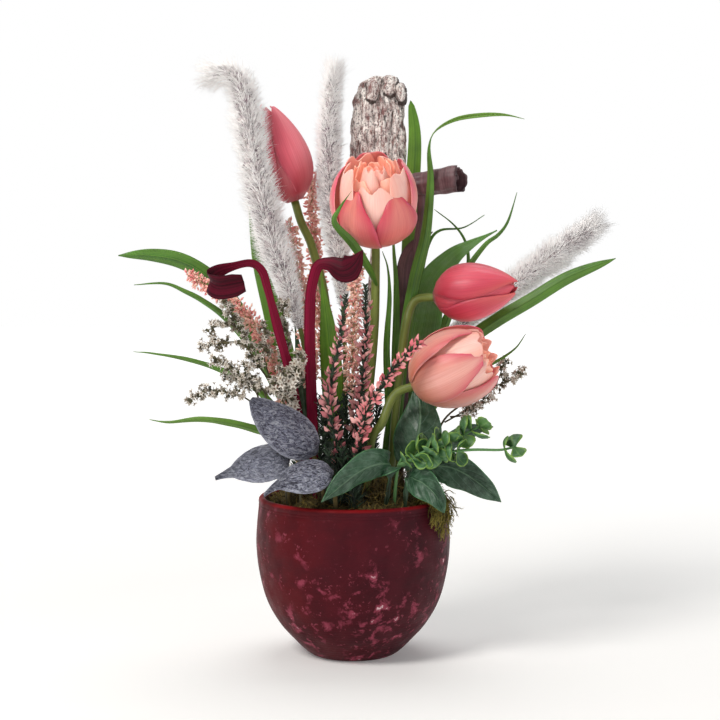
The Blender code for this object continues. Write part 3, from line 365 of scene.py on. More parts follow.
# Materials
def colour(code):
    """Scene-linear colour from a hex code."""
    parts = [int(code[i:i + 2], 16) / 255 for i in (1, 3, 5)]
    return (*[p / 12.92 if p <= 0.04045 else ((p + 0.055) / 1.055) ** 2.4 for p in parts], 1)


# How far apart in the noise the streaks of two shapes are whose tints differ by one
STREAKS_APART = 37.0


class Finish:
    """A Principled material whose nodes are added by short calls."""

    def __init__(self, name, roughness=0.6, **values):
        self.material = bpy.data.materials.new(name)
        self.material.use_nodes = True
        self.tree = self.material.node_tree
        self.shader = self.tree.nodes["Principled BSDF"]
        self.shader.inputs["Roughness"].default_value = roughness
        for socket, value in values.items():
            self.shader.inputs[socket.replace("_", " ")].default_value = value
        place = self.node("ShaderNodeAttribute", attribute_name="place")
        self.across, self.along, self.tint = self.parts(place.outputs["Vector"])
        self.where = self.node("ShaderNodeTexCoord").outputs["Object"]
        self.body = None

    def node(self, kind, **settings):
        made = self.tree.nodes.new(kind)
        for key, value in settings.items():
            setattr(made, key, value)
        return made

    def wire(self, source, target):
        if isinstance(source, bpy.types.NodeSocket):
            self.tree.links.new(source, target)
        else:
            target.default_value = source

    def math(self, operation, a, b=0.0):
        made = self.node("ShaderNodeMath", operation=operation)
        self.wire(a, made.inputs[0])
        self.wire(b, made.inputs[1])
        return made.outputs[0]

    def times(self, a, b):
        return self.math("MULTIPLY", a, b)

    def plus(self, a, b):
        return self.math("ADD", a, b)

    def minus(self, a, b):
        return self.math("SUBTRACT", a, b)

    def side(self):
        """How far from a shape's middle line a point is."""
        return self.math("ABSOLUTE", self.across)

    def parts(self, vector):
        made = self.node("ShaderNodeSeparateXYZ")
        self.wire(vector, made.inputs[0])
        return made.outputs

    def mix(self, share, a, b):
        made = self.node("ShaderNodeMix", data_type="RGBA")
        self.wire(share, made.inputs[0])
        self.wire(colour(a) if isinstance(a, str) else a, made.inputs[6])
        self.wire(colour(b) if isinstance(b, str) else b, made.inputs[7])
        return made.outputs[2]

    def within(self, value, low, high, to_low=0.0, to_high=1.0):
        made = self.node("ShaderNodeMapRange")
        for source, target in zip((value, low, high, to_low, to_high), made.inputs):
            self.wire(source, target)
        return made.outputs[0]

    def noise(self, scale, detail=3.0, vector=None, rough=0.55, distortion=0.0):
        made = self.node("ShaderNodeTexNoise")
        settings = {"Vector": vector or self.where, "Scale": scale, "Detail": detail, "Roughness": rough,
                    "Distortion": distortion}
        for socket, value in settings.items():
            self.wire(value, made.inputs[socket])
        return made.outputs["Fac"]

    def stretched(self, scale):
        """The place of a point, stretched along the axes."""
        made = self.node("ShaderNodeMapping")
        self.wire(self.where, made.inputs["Vector"])
        self.wire(scale, made.inputs["Scale"])
        return made.outputs[0]

    def streaks(self, across, along, detail=3.0):
        """Noise drawn out along the shape, differing from shape to shape."""
        made = self.node("ShaderNodeCombineXYZ")
        self.wire(self.times(self.across, across), made.inputs[0])
        self.wire(self.times(self.along, along), made.inputs[1])
        self.wire(self.times(self.tint, STREAKS_APART), made.inputs[2])
        return self.noise(1.0, detail, made.outputs[0])

    def over(self, share, code):
        """Lay a colour over the body's by a share."""
        self.body = self.mix(share, self.body, code)

    def layer(self, value, low, high, code, most=1.0):
        """Lay a colour over the body's: none of it where the value is low, most of it where it is high."""
        self.over(self.within(value, low, high, 0.0, most), code)

    def made(self):
        self.wire(self.body, self.shader.inputs["Base Color"])
        return self.material

    def rough(self, value, low, high):
        self.wire(self.within(value, 0.3, 0.7, low, high), self.shader.inputs["Roughness"])

    def bump(self, height, distance, strength=1.0):
        made = self.node("ShaderNodeBump")
        self.wire(height, made.inputs["Height"])
        self.wire(distance * MM, made.inputs["Distance"])
        self.wire(strength, made.inputs["Strength"])
        self.wire(made.outputs[0], self.shader.inputs["Normal"])


def pot_finish():
    """Dull burgundy glaze, redder to one side, worn to rose in dabs, with white chips and turning lines."""
    f = Finish("pot_burgundy", 0.55, Specular_IOR_Level=0.12)
    x, _, z = f.parts(f.where)
    cloud = f.noise(16, 3)
    redder = f.within(f.plus(f.times(x, -10.0), cloud), 0.35, 1.1)
    f.body = f.mix(redder, "#48101B", "#560A12")
    f.layer(f.noise(48, 4), 0.4, 0.8, "#2C0A12", 0.8)
    region = f.plus(f.noise(26, 2), f.times(f.within(z, 0.105, 0.03), 0.10))
    region = f.within(f.plus(region, f.times(f.within(x, -0.05, 0.06), 0.07)), 0.5, 0.68)
    dabs = f.within(f.noise(105, 6, rough=0.62, distortion=0.3), 0.52, 0.66)
    worn = f.times(dabs, region)
    f.layer(worn, 0.1, 0.8, "#9A4054", 0.8)
    dots = f.times(f.within(f.noise(330, 4, rough=0.6), 0.62, 0.67), f.within(region, 0.0, 0.4, 0.15, 1.0))
    f.over(f.times(dots, 0.6), "#9A4656")
    chips = f.times(f.within(f.noise(210, 5, rough=0.7), 0.57, 0.63), f.within(worn, 0.8, 0.95))
    f.over(chips, "#D8B8BC")
    edge = f.times(f.within(z, 0.1125, 0.1138), f.within(f.noise(30, 3), 0.2, 0.5))
    f.over(edge, "#7A0C12")
    lines = f.node("ShaderNodeTexWave", wave_type="BANDS", bands_direction="Z")
    f.wire(f.where, lines.inputs["Vector"])
    f.wire(150.0, lines.inputs["Scale"])
    f.wire(1.6, lines.inputs["Distortion"])
    f.wire(3.0, lines.inputs["Detail"])
    height = f.plus(f.times(lines.outputs["Fac"], 0.25), f.noise(240, 4))
    height = f.minus(height, f.times(worn, 0.35))
    f.bump(height, 0.25, 0.55)
    f.rough(f.noise(90, 4), 0.42, 0.66)
    return f.made()


def foam_finish():
    f = Finish("floral_foam", 0.95)
    cells = f.node("ShaderNodeTexVoronoi")
    f.wire(f.where, cells.inputs["Vector"])
    f.wire(900.0, cells.inputs["Scale"])
    f.body = f.mix(f.within(cells.outputs["Distance"], 0.1, 0.7), "#4E5E38", "#8A9A66")
    f.rough(f.noise(300), 0.85, 1.0)
    f.bump(cells.outputs["Distance"], 0.4, 0.8)
    return f.made()


def moss_finish(name, dark, middle, light):
    f = Finish(name, 0.95)
    f.body = f.mix(f.within(f.noise(160, 4), 0.3, 0.7), dark, middle)
    f.layer(f.tint, 0.55, 1.0, light)
    f.over(f.times(f.along, 0.3), light)
    f.rough(f.noise(400), 0.8, 1.0)
    f.bump(f.noise(900, 3), 0.3, 0.5)
    return f.made()


def petal_finish(name, deep, main, pale, tip, foot, edge, glow):
    """A silky petal: deeper at its sides, paler along its middle, with fine ribs that run to the tip. Its
    paler middle is partly its own colour and partly a painted highlight, its foot colour partly its own and
    partly painted shade, and its emission a painted glow of light shining through it.
    """
    # The emission, by glow, is a painted glow standing in for light shining through the petal.
    f = Finish(name, 0.42, Sheen_Weight=0.08, Sheen_Roughness=0.4, Subsurface_Weight=0.12,
               Subsurface_Scale=0.004, Emission_Color=(1.0, 0.55, 0.42, 1), Emission_Strength=glow)
    side = f.side()
    fibres = f.streaks(26, 2.2, 5)
    broad = f.streaks(3.5, 1.4, 2)
    # The paler middle: partly the petal's own colour, partly a painted highlight.
    f.body = f.mix(f.within(f.plus(side, f.times(broad, 0.6)), 0.35, 1.3), pale, main)
    f.layer(fibres, 0.42, 0.75, deep, 0.35)
    # The foot colour at the base: partly the petal's own, partly painted shade.
    f.layer(f.along, 0.3, 0.0, foot, 0.75)
    flush = f.plus(f.times(f.along, 0.8), f.times(side, 0.45))
    flush = f.within(f.plus(flush, f.times(broad, 0.3)), 0.7, 1.15)
    f.over(f.times(flush, f.within(f.tint, 0.25, 0.9)), tip)
    f.layer(side, 0.9, 1.0, edge, 0.55)
    f.rough(fibres, 0.34, 0.5)
    f.bump(f.plus(fibres, f.times(f.noise(260, 3), 0.4)), 0.22, 0.6)
    return f.made()


def leaf_finish(name, dark, main, light, rib, ribs, gloss=0.42, haze=0.0):
    """A leaf with ribs along it, clouds of colour and a paler middle."""
    f = Finish(name, gloss, Specular_IOR_Level=0.45)
    side = f.side()
    fibres = f.streaks(ribs, 1.5, 4)
    clouds = f.noise(70, 3)
    f.body = f.mix(f.within(clouds, 0.3, 0.7), dark, main)
    f.layer(fibres, 0.35, 0.75, light, 0.55)
    f.layer(f.tint, 0.4, 1.0, light, 0.4)
    f.layer(side, 0.10, 0.0, rib, 0.55)
    if haze:
        f.layer(f.noise(120, 5, rough=0.7), 0.45, 0.8, "#9DB5A0", haze)
    f.rough(fibres, gloss - 0.08, gloss + 0.14)
    f.bump(f.plus(fibres, f.times(f.noise(300, 3), 0.3)), 0.3, 0.6)
    return f.made()


def veined_leaf_finish():
    """A dark base leaf: a pale midrib, side veins that slant to the edge, a hazy bloom, a lighter margin."""
    f = Finish("leaf_dark_veined", 0.4, Specular_IOR_Level=0.4)
    side = f.side()
    slant = f.minus(f.times(f.along, 9.0), f.times(side, 2.2))
    slant = f.plus(slant, f.times(f.noise(60, 2), 1.2))
    ridge = f.math("ABSOLUTE", f.minus(f.math("FRACT", slant), 0.5))
    vein = f.within(ridge, 0.42, 0.5)
    middle = f.within(side, 0.07, 0.0)
    f.body = f.mix(f.within(f.noise(55, 4), 0.32, 0.68), "#183220", "#2C5236")
    f.layer(f.noise(170, 5, rough=0.7), 0.42, 0.75, "#74907A", 0.5)
    f.over(f.times(vein, 0.3), "#6E9079")
    f.over(f.times(middle, 0.5), "#7FA07E")
    f.layer(side, 0.93, 0.99, "#4F8A55", 0.7)
    f.layer(f.along, 0.4, 0.28, "#1A2412", 0.8)
    f.rough(f.noise(150, 4), 0.3, 0.52)
    height = f.minus(f.noise(220, 3), f.plus(f.times(vein, 0.6), middle))
    f.bump(height, 0.35, 0.7)
    return f.made()


def curl_finish():
    """Burgundy leaf: magenta where light falls on its stalk, darkened nearly to black in its curled end as
    painted shade, fine ribs.
    """
    f = Finish("burgundy_curl", 0.45, Specular_IOR_Level=0.1)
    fibres = f.streaks(13, 1.2, 5)
    f.body = f.mix(f.within(fibres, 0.3, 0.72), "#52071B", "#860D34")
    # The curled end nearly black: painted shade inside the curl.
    f.layer(f.along, 0.8, 0.88, f.mix(f.within(fibres, 0.35, 0.7), "#2C0410", "#580820"))
    f.layer(f.along, 0.35, 0.0, "#420816", 0.6)
    f.layer(f.side(), 0.88, 1.0, "#2A0510", 0.7)
    f.rough(fibres, 0.42, 0.6)
    f.bump(f.plus(f.times(fibres, 0.5), f.noise(260, 4)), 0.35, 0.7)
    return f.made()


def mauve_finish():
    f = Finish("mauve_ribbed", 0.45, Sheen_Weight=0.15)
    fibres = f.streaks(14, 1.6, 5)
    f.body = f.mix(f.within(fibres, 0.3, 0.7), "#44262C", "#7E5A5E")
    f.layer(f.noise(70, 3), 0.4, 0.75, "#33181E", 0.7)
    f.layer(f.side(), 0.9, 1.0, "#24131A", 0.5)
    f.rough(fibres, 0.36, 0.6)
    f.bump(fibres, 0.4, 0.8)
    return f.made()


def fur_finish():
    """Long pale hairs, mauve grey at their roots, with a faint white emission: a painted glow of light
    shining through them.
    """
    # The white emission is a painted glow, light through the hairs painted in.
    f = Finish("plume_hair", 0.7, Sheen_Weight=0.3, Sheen_Roughness=0.5, Emission_Color=(1.0, 0.98, 0.97, 1),
               Emission_Strength=0.1)
    f.body = f.mix(f.within(f.tint, 0.0, 1.0), "#E6E1DE", "#FFFDFC")
    mottle = f.times(f.within(f.noise(75, 4), 0.5, 0.62), f.within(f.along, 0.75, 0.2))
    height = f.parts(f.where)[2]
    lower = f.within(height, 0.41, 0.35, 0.25, 0.95)
    f.over(f.times(mottle, lower), "#7E626C")
    f.layer(f.along, 0.35, 0.0, "#B5A8AC", 0.35)
    f.rough(f.noise(500, 2), 0.6, 0.85)
    return f.made()


def core_finish():
    """The plume's stalk and seeds under its hair, mottled mauve grey with dark specks."""
    f = Finish("plume_core", 0.9)
    f.body = f.mix(f.within(f.noise(130, 4), 0.38, 0.62), "#86707A", "#D6CBC9")
    f.layer(f.noise(480, 3), 0.56, 0.66, "#3A2E35")
    f.layer(f.tint, 0.6, 1.0, "#54434B")
    f.rough(f.noise(300), 0.75, 0.98)
    f.bump(f.noise(700, 4), 0.6, 0.9)
    return f.made()


def bark_finish():
    """Weathered wood under whitewash: brown-mauve in the grooves, chalky on the ridges, and painted nearly
    black where its tint is low, as painted shade deep in the grooves and round and under the knobs.
    """
    f = Finish("bark_whitewashed", 0.9)
    grain = f.noise(560, 6, f.stretched((1.0, 1.0, 0.22)), 0.7)
    patches = f.noise(75, 4)
    f.body = f.mix(f.within(grain, 0.38, 0.52), "#9A766F", "#FCF5EF")
    blush = f.times(f.within(patches, 0.47, 0.6), f.within(grain, 0.4, 0.62, 0.95, 0.25))
    f.over(blush, "#7D514E")
    specks = f.within(f.noise(820, 5, rough=0.65), 0.54, 0.60)
    f.over(f.times(specks, 0.75), "#43383A")
    # Low tint: painted shade, nearly black, deep in the grooves and round and under the knobs.
    f.layer(f.tint, 0.45, 0.05, "#33241F", 0.92)
    f.rough(grain, 0.75, 1.0)
    f.bump(f.plus(grain, f.times(specks, -0.4)), 0.9, 1.0)
    return f.made()


def pod_finish():
    """A dry pod washed in lavender grey, broadly paler and darker along its wrinkles, with painted highlights
    on its fine ridges and along its rim, painted shade nearly black in its creases, and painted light on the
    pod with a high tint against the shade that falls on it.
    """
    f = Finish("pod_lavender_grey", 0.75)
    bent = f.node("ShaderNodeCombineXYZ")
    f.wire(f.times(f.across, 7.0), bent.inputs[0])
    f.wire(f.times(f.along, 5.0), bent.inputs[1])
    f.wire(f.tint, bent.inputs[2])
    wrinkle = f.noise(1.6, 7, bent.outputs[0], 0.72, 2.6)
    fine = f.noise(480, 6, f.stretched((0.45, 1.0, 1.0)), 0.74, 1.2)
    f.body = f.mix(f.within(wrinkle, 0.40, 0.56), "#4A4A60", "#A4A7BE")
    # Painted highlights on the fine ridges.
    f.layer(fine, 0.51, 0.59, "#DDE0EC", 0.95)
    # Painted shade, nearly black, in the fine creases.
    f.layer(fine, 0.475, 0.41, "#201F2C", 0.95)
    f.layer(f.tint, 0.45, 0.2, "#3E3A4E", 0.45)
    # Painted light: a high tint lightens the pod against the shade that falls on it.
    f.layer(f.tint, 0.6, 0.9, "#A9ACBE", 0.3)
    # A painted highlight along the rim.
    f.layer(f.side(), 0.93, 1.0, "#B6B9C8", 0.5)
    f.rough(fine, 0.6, 0.9)
    f.bump(f.plus(f.times(wrinkle, 2.2), f.times(fine, 1.1)), 1.0, 1.3)
    return f.made()


def small_finish(name, stops, centre=None, fade=None):
    """A small repeat: its colour follows its tint through the stops, with a darker centre or foot."""
    f = Finish(name, 0.65, Sheen_Weight=0.1)
    ramp = f.node("ShaderNodeValToRGB")
    elements = ramp.color_ramp.elements
    for k, code in enumerate(stops):
        element = elements[k] if k < 2 else elements.new(1.0)
        element.position = k / (len(stops) - 1)
        element.color = colour(code)
    f.wire(f.tint, ramp.inputs[0])
    f.body = f.mix(f.within(f.noise(600, 3), 0.35, 0.7, 0.0, 0.3), ramp.outputs[0], stops[0])
    if centre:
        f.layer(f.side(), 0.35, 0.1, centre)
    if fade:
        f.layer(f.along, 0.35, 0.0, fade, 0.9)
    f.rough(f.noise(500), 0.55, 0.8)
    f.bump(f.noise(1500, 2), 0.12, 0.5)
    return f.made()


def spoon_finish():
    """A eucalyptus leaf: soft green with a hazy bloom, a yellow-green margin and a pale middle vein."""
    f = Finish("eucalyptus_leaf", 0.5)
    side = f.side()
    rim = f.math("MAXIMUM", side, f.within(f.along, 0.85, 1.0))
    f.body = f.mix(f.within(f.noise(150, 4), 0.3, 0.7), "#2F5636", "#4C7A46")
    f.layer(f.tint, 0.5, 1.0, "#578430")
    f.layer(f.noise(400, 4), 0.5, 0.75, "#7E9C7E", 0.5)
    f.layer(side, 0.14, 0.0, "#83A55E", 0.4)
    f.layer(rim, 0.72, 0.98, "#86AC48", 0.9)
    f.rough(f.noise(300), 0.42, 0.62)
    f.bump(f.noise(500, 3), 0.25, 0.6)
    return f.made()


# The pot, the foam and the moss
def rounded_profile(points, count):
    """A smooth profile through (radius, height) points."""
    return [(x, z) for x, _, z in smooth_path([(r, 0, z) for r, z in points], count)]


def make_pot(finish):
    inside = rounded_profile(POT_INSIDE, 40)
    outside = rounded_profile([POT_LIP[-1], *POT_OUTSIDE], 70)
    profile = [(0, POT_FLOOR), *inside, *POT_LIP, *outside[1:], *POT_FOOT, (0, 0)]
    edges = [(k, k + 1) for k in range(len(profile) - 1)]
    mesh = bpy.data.meshes.new("pot_body")
    mesh.from_pydata([(r * MM, 0, z * MM) for r, z in profile], edges, [])
    mesh.materials.append(finish)
    obj = bpy.data.objects.new("pot_body", mesh)
    bpy.context.scene.collection.objects.link(obj)
    screw = obj.modifiers.new("turn", "SCREW")
    screw.steps = screw.render_steps = 120
    screw.use_merge_vertices = True
    screw.merge_threshold = 0.00001
    screw.use_smooth_shade = True
    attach(obj, "root")
    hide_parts("pot")


def moss_height(x, y):
    out = min(1, math.hypot(x, y) / (MOSS_RADIUS * MM))
    dome = MOSS_EDGE + (MOSS_CROWN - MOSS_EDGE) * (1 - out**2.2)
    lumps = math.sin(x * 170 + 1.3) * math.cos(y * 150 - 0.4) + 0.6 * math.sin(x * 310 + y * 270)
    return (dome + 1.6 * lumps * (1 - 0.5 * out)) * MM


# Curls of moss on the mound, and wisps on each hanging tuft
WISPS = 2200
HANGING_WISPS = 105
# Each tuft's direction from the pot's axis in degrees and the height that it hangs down to, and the radius
# and height of the points that they all pass on their way over the rim
HANGING = ((-30, 95), (-24, 104), (-38, 104))
HANGING_LINE = ((54, 111), (60, 118), (66, 120.6), (72, 118), (73.8, 109))


def hanging_line(spread, drop):
    out = Vector((math.cos(math.radians(spread)), math.sin(math.radians(spread)), 0))
    return [out * r * MM + Vector((0, 0, z * MM)) for r, z in (*HANGING_LINE, (73, drop))]


def add_wisps(shapes, roots, ahead, length, width, curl):
    """Curly wisps of moss, each a fine tube that wanders."""
    steps = 4
    for root, heading in zip(roots, ahead):
        points = [root]
        direction = heading
        for _ in range(steps):
            direction = unit(direction + random.normal(0, curl, 3))
            points.append(points[-1] + direction * length * MM / steps * random.uniform(0.6, 1.3))
        rings, _ = tube_grid(np.array(points), np.linspace(width, width * 0.3, steps + 1), 3)
        add_tube(shapes, rings, random.uniform(0, 1))


def add_hanging_wisp(shapes, root, heading, length):
    """A feathery wisp with short leaflets, drooping as it goes."""
    droop = np.array((0, 0, -0.22))
    steps, leaflets = 5, 9
    points, direction = [root], heading
    for _ in range(steps):
        direction = unit(direction + droop + random.normal(0, 0.2, 3))
        points.append(points[-1] + direction * length * MM / steps)
    path = np.array(points)
    rings, _ = tube_grid(path, np.linspace(0.42, 0.16, steps + 1), 3)
    add_tube(shapes, rings, random.uniform(0.3, 1), 1)
    where = random.integers(1, steps + 1, leaflets)
    ahead = unit(headings(path)[where] + random.normal(0, 0.7, (leaflets, 3)))
    add_hairs(shapes, path[where], ahead, random.uniform(1.2, 2.4, leaflets), np.full(leaflets, 0.22),
              random.uniform(0.3, 1, leaflets), 1)


def mound_grid():
    """Rings of points over the mound, from its middle to the pot's wall."""
    radii = np.linspace(0.5, MOSS_RADIUS + 1.5, 46)
    angles = np.linspace(0, 2 * math.pi, 120, endpoint=False)
    grid = np.zeros((len(radii), len(angles), 3))
    for i, r in enumerate(radii):
        for j, a in enumerate(angles):
            x, y = r * MM * math.cos(a), r * MM * math.sin(a)
            rough = noise.fractal(Vector((x, y, 0.3)) * 260, 0.8, 2.1, 4) * 1.5 * MM
            edge = -6 * MM * smooth_step(MOSS_RADIUS - 3, MOSS_RADIUS + 1.5, r)
            grid[i, j] = (x, y, moss_height(x, y) + rough - 1.2 * MM + edge)
    return grid


def make_moss(finish, light_finish):
    mound = Shapes()
    add_tube(mound, mound_grid())
    r = MOSS_RADIUS * np.sqrt(random.uniform(0, 1, WISPS)) * 1.02
    a = random.uniform(0, 2 * math.pi, WISPS)
    x, y = r * MM * np.cos(a), r * MM * np.sin(a)
    z = np.array([moss_height(*p) for p in zip(x, y)]) - 1 * MM
    roots = np.column_stack([x, y, z])
    lean = random.normal(0, 1, (WISPS, 3))
    lean[:, 2] = np.abs(lean[:, 2]) * 0.55
    near_rim = (r > MOSS_RADIUS - 5)[:, None]
    inward = np.column_stack([-x, -y, np.full(WISPS, 0.05)])
    lean = np.where(near_rim, unit(inward) + 0.5 * lean, lean)
    add_wisps(mound, roots, unit(lean), 9, 0.42, 0.55)
    # Taller dark wisps in the middle, put up among the stems to stand for the shade there: painted shade.
    inner = random.uniform(0, 1, WISPS) * (r < MOSS_RADIUS - 15) > 0.45
    tall = unit(lean[inner] + np.array((0, 0, 1.6)))
    add_wisps(mound, roots[inner], tall, 28, 0.45, 0.42)
    for spread, drop in HANGING:
        line = hanging_line(spread, drop)
        add_stem(mound, line, (1.6, 1.5, 1.3, 1.0, 0.7, 0.3), 24, 6, 0.6, 1)
        path = smooth_path(line, 40)
        along = headings(path)
        for _ in range(HANGING_WISPS):
            k = random.integers(4, 40)
            jitter = random.normal(0, 1.6 * MM, 3)
            outward = unit(along[k] * 1.2 + random.normal(0, 0.6, 3))
            add_hanging_wisp(mound, path[k] + jitter, outward, 8)
    mound.piece("moss_mound", [finish, light_finish], ["moss"])


# Tulips
BLOOMS = {
    # name: foot of the petals, the way it faces, radius, height, turn, how far its near petals droop
    "tulip_bud_left": ((-41, 325, 14), (-0.29, 0, 0.96), 19.5, 76, -1.2, 0),
    "tulip_bud_right": ((58, 258, -10), (0.88, -0.42, 0.16), 19.5, 66, 2.4, 0),
    "tulip_open_centre": ((16, 297, -10), (-0.02, -0.42, 0.9), 30.5, 64, 3.94, 1),
    "tulip_open_right": ((43, 194, -30), (0.86, -0.2, 0.42), 27.5, 62, 0.55, 0),
}
DOUBLE_RINGS = (
    # number of petals, first turn, shares of the radius, height and half width, closing, droop on the near
    # side, then their tops' ruffle, notch and taper, and their tint
    (5, 0.20, 1.00, 0.95, 0.64, 1.52, 0.30, 0.9, 0.0, 0.62, 0.95),
    (5, 0.75, 0.82, 1.00, 0.62, 1.50, 0.20, 1.3, 0.08, 0.22, 0.35),
    (4, 0.10, 0.60, 0.95, 0.48, 1.46, 0.10, 1.8, 0.04, 0.3, 0.2),
)
# The broad outer petals on the far side, and the small ones in the heart
FLANK_HALF_WIDTH = 0.84
FLANK_TAPER = 0.4
HEART_PETALS = 10
HEART_TAPER = 0.42


def aim(base, axis, turn):
    heading = Vector(axis).normalized().to_track_quat("Z", "Y").to_matrix().to_4x4()
    return Matrix.Translation(base) @ heading @ Matrix.Rotation(turn, 4, "Z")


def moved(grid, matrix):
    turn = np.array(matrix.to_3x3())
    return grid @ turn.T + np.array(matrix.translation)


def petal_widening(v):
    """A petal's width at shares v of its length, before its top narrows it."""
    return 0.5 + 0.5 * np.sin(np.minimum(1, v / 0.55) * math.pi / 2)


def bud_radius(radius, t):
    return radius * np.sin(math.pi * t**0.72) ** 0.75


def petal_places(rows, columns):
    v = np.sin(np.linspace(0, 1, rows) * math.pi / 2)[:, None] ** 0.9
    u = np.linspace(-1, 1, columns)[None, :]
    return u, v


def open_petal(turn, radius, height, half_width, closing, ruffle, notch, seed, taper):
    """A cupped petal with a soft rib and a broad, waved top edge, notched by a share of its height."""
    u, v = petal_places(26, 17)
    top = np.clip((v - 0.5) / 0.5, 0, 1)
    corners = 0.17 * np.abs(u) ** 3.2 * top
    waves = 0.012 * ruffle * np.sin(u * 7.1 + seed) * top**2
    t = 0.06 + 0.94 * v * (1 - corners) - notch * np.exp(-((u / 0.26) ** 2)) * top**2 + waves
    angle_up = t * math.pi / 2 * closing
    r = radius * np.sin(angle_up)
    z = height * (1 - np.cos(angle_up)) / (1 - math.cos(math.pi / 2 * closing))
    wide = petal_widening(v) * (1 - taper * top**2)
    angle = turn + u * half_width * wide / np.maximum(r, 0.5 * radius)
    r = r + 1.5 * u - 1.1 * u * u * v
    r = r + top**2 * ruffle * np.sin(u * 4.7 + seed * 2.3) * 0.7
    r = r - 0.5 * np.exp(-((u / 0.12) ** 2)) * np.sin(v * math.pi)
    r = r + 0.2 * np.cos(u * 15 + seed) * np.sin(v * math.pi)
    return np.stack([r * np.cos(angle), r * np.sin(angle), z], axis=-1) * MM


def closed_petal(turn, radius, height, half_angle, lift, reach, seed):
    """A bud's petal, with a rib up its middle and soft furrows beside it."""
    u, v = petal_places(28, 17)
    start = 0.03
    t = np.minimum(start + (reach - start) * v, 0.985) + 0 * u
    r = bud_radius(radius, t)
    z = height * t
    rise = np.minimum(1, v * 4)
    r = r + lift * rise - 1.2 * (1 - rise) - 0.4 * lift * u * u * rise + 0.2 * u + 0.5 * v
    r = r - 0.55 * np.exp(-(((np.abs(u) - 0.16) / 0.1) ** 2)) * np.sin(v * math.pi) ** 0.6
    r = r + 0.16 * np.cos(u * 17 + seed) * np.sin(v * math.pi)
    rounding = np.sqrt(np.clip(1 - np.clip((v - 0.55) / 0.45, 0, 1) ** 2.4, 0, 1))
    angle = turn + u * half_angle * np.maximum(0.05, petal_widening(v) * rounding)
    return np.stack([r * np.cos(angle), r * np.sin(angle), z], axis=-1) * MM


def make_open_bloom(name, finishes):
    """Rings of petals: rosy ones outside, paler ones within and a coral heart, with a solid core in the
    glowing heart finish that paints light into the gaps between the heart petals.
    """
    foot, axis, radius, height, turn, droop = BLOOMS[name]
    where = aim(spot(*foot), axis, turn)
    shapes = Shapes()
    number = 0
    for ring, row in enumerate(DOUBLE_RINGS):
        count, first, wide, tall, ring_half, closing, near_droop, ruffle, notch, ring_taper, ring_tint = row
        for k in range(count):
            angle = first + k * 2 * math.pi / count
            near = -(where.to_3x3() @ Vector((math.cos(angle), math.sin(angle), 0))).y
            uneven = (1 - 0.03 * ((k * 2 + ring) % 3)) * (1 - droop * near_droop * max(0, near))
            flank = ring == 0 and near < 0
            half, taper = (FLANK_HALF_WIDTH, FLANK_TAPER) if flank else (ring_half, ring_taper)
            petal = open_petal(angle, radius * wide, height * tall * uneven, radius * half, closing, ruffle,
                               notch, number * 1.3, taper)
            add_sheet(shapes, moved(petal, where), 0.8, ring_tint - 0.25 * (k % 2), 3 if flank else ring)
            number += 1
    for k in range(HEART_PETALS):
        petal = open_petal(0.5 + k * 2.4, radius * (0.52 - 0.032 * k), height * (0.97 - 0.01 * k),
                           radius * 0.4, 1.5, 1.6, 0.05, k * 2.1, HEART_TAPER)
        add_sheet(shapes, moved(petal, where), 0.7, 0.1 * (k % 4), 1 if k % 3 == 0 else 2)
    # The core fills the gaps between the heart petals with its glowing colour: painted light where shade
    # would show.
    core = np.linspace(0.05, 1, 16)
    thick = radius * 0.3 * np.sin(math.pi * core * 0.94) ** 0.6
    add_core(shapes, where, core * height * 0.84, thick, 20, 0.2, 2)
    shapes.piece(name + "_petals", finishes, [name])


def make_closed_bloom(name, finish):
    foot, axis, radius, height, turn, _ = BLOOMS[name]
    where = aim(spot(*foot), axis, turn)
    shapes = Shapes()
    core = np.linspace(0.03, 0.93, 24)
    thick = np.maximum(bud_radius(radius, core) - 2.6, 1.0)
    add_core(shapes, where, core * height * 0.97, thick, 24, 0.3)
    for k in range(3):
        turned_by = k * 2 * math.pi / 3
        inner = closed_petal(turned_by + math.pi / 3, radius, height, 1.02, -1.4, 0.95, k * 2.0)
        outer = closed_petal(turned_by, radius, height, 1.04, 0.9, 0.985 - 0.05 * k, k * 3.1)
        add_sheet(shapes, moved(inner, where), 0.8, 0.35)
        add_sheet(shapes, moved(outer, where), 0.8, 0.6 + 0.15 * k)
    shapes.piece(name + "_petals", [finish], [name])


def add_core(shapes, where, heights, radii, facets, tint, finish=0):
    """The solid middle of a bloom, of the given radii at heights over the foot of its petals."""
    line = np.column_stack([0 * heights, 0 * heights, heights]) * MM
    rings, _ = tube_grid(line, radii, facets, RIGHT)
    add_tube(shapes, moved(rings, where), tint, finish)


def stem_under(bloom):
    foot, axis = BLOOMS[bloom][:2]
    along = Vector(axis).normalized()
    top = spot(*foot) - along * 0.6 * MM
    return [top - along * 14 * MM, top + along * 2.5 * MM]


# Outlines of leaves, as a share of the greatest half width at shares s of the length
def grass_outline(s):
    return np.maximum(0.03, np.minimum(1, 0.5 + 2 * s) * (1 - s**3.2))


def tulip_leaf_outline(s):
    return np.maximum(0.03, (0.28 + 0.72 * np.sin(math.pi * np.minimum(1, s * 1.05) ** 0.9)) * (1 - s**7))


def oval_outline(s):
    return np.maximum(0.03, np.sin(math.pi * s**0.8) ** 0.8)


def broad_grass_outline(s):
    return np.maximum(0.03, np.minimum(1, 0.5 + 2 * s) * (1 - s**14))


def folded_grass_outline(s):
    """A blade that narrows to a crease at its fold and goes on as a slimmer one."""
    below = np.minimum(1, 0.6 + s) * np.sqrt(np.clip((0.78 - s) / 0.3, 0, 1))
    beyond = 0.42 * np.sqrt(np.sin(math.pi * np.clip((s - 0.78) / 0.22, 0, 1)))
    return np.maximum(0.12, below + beyond) * (1 - s**20)


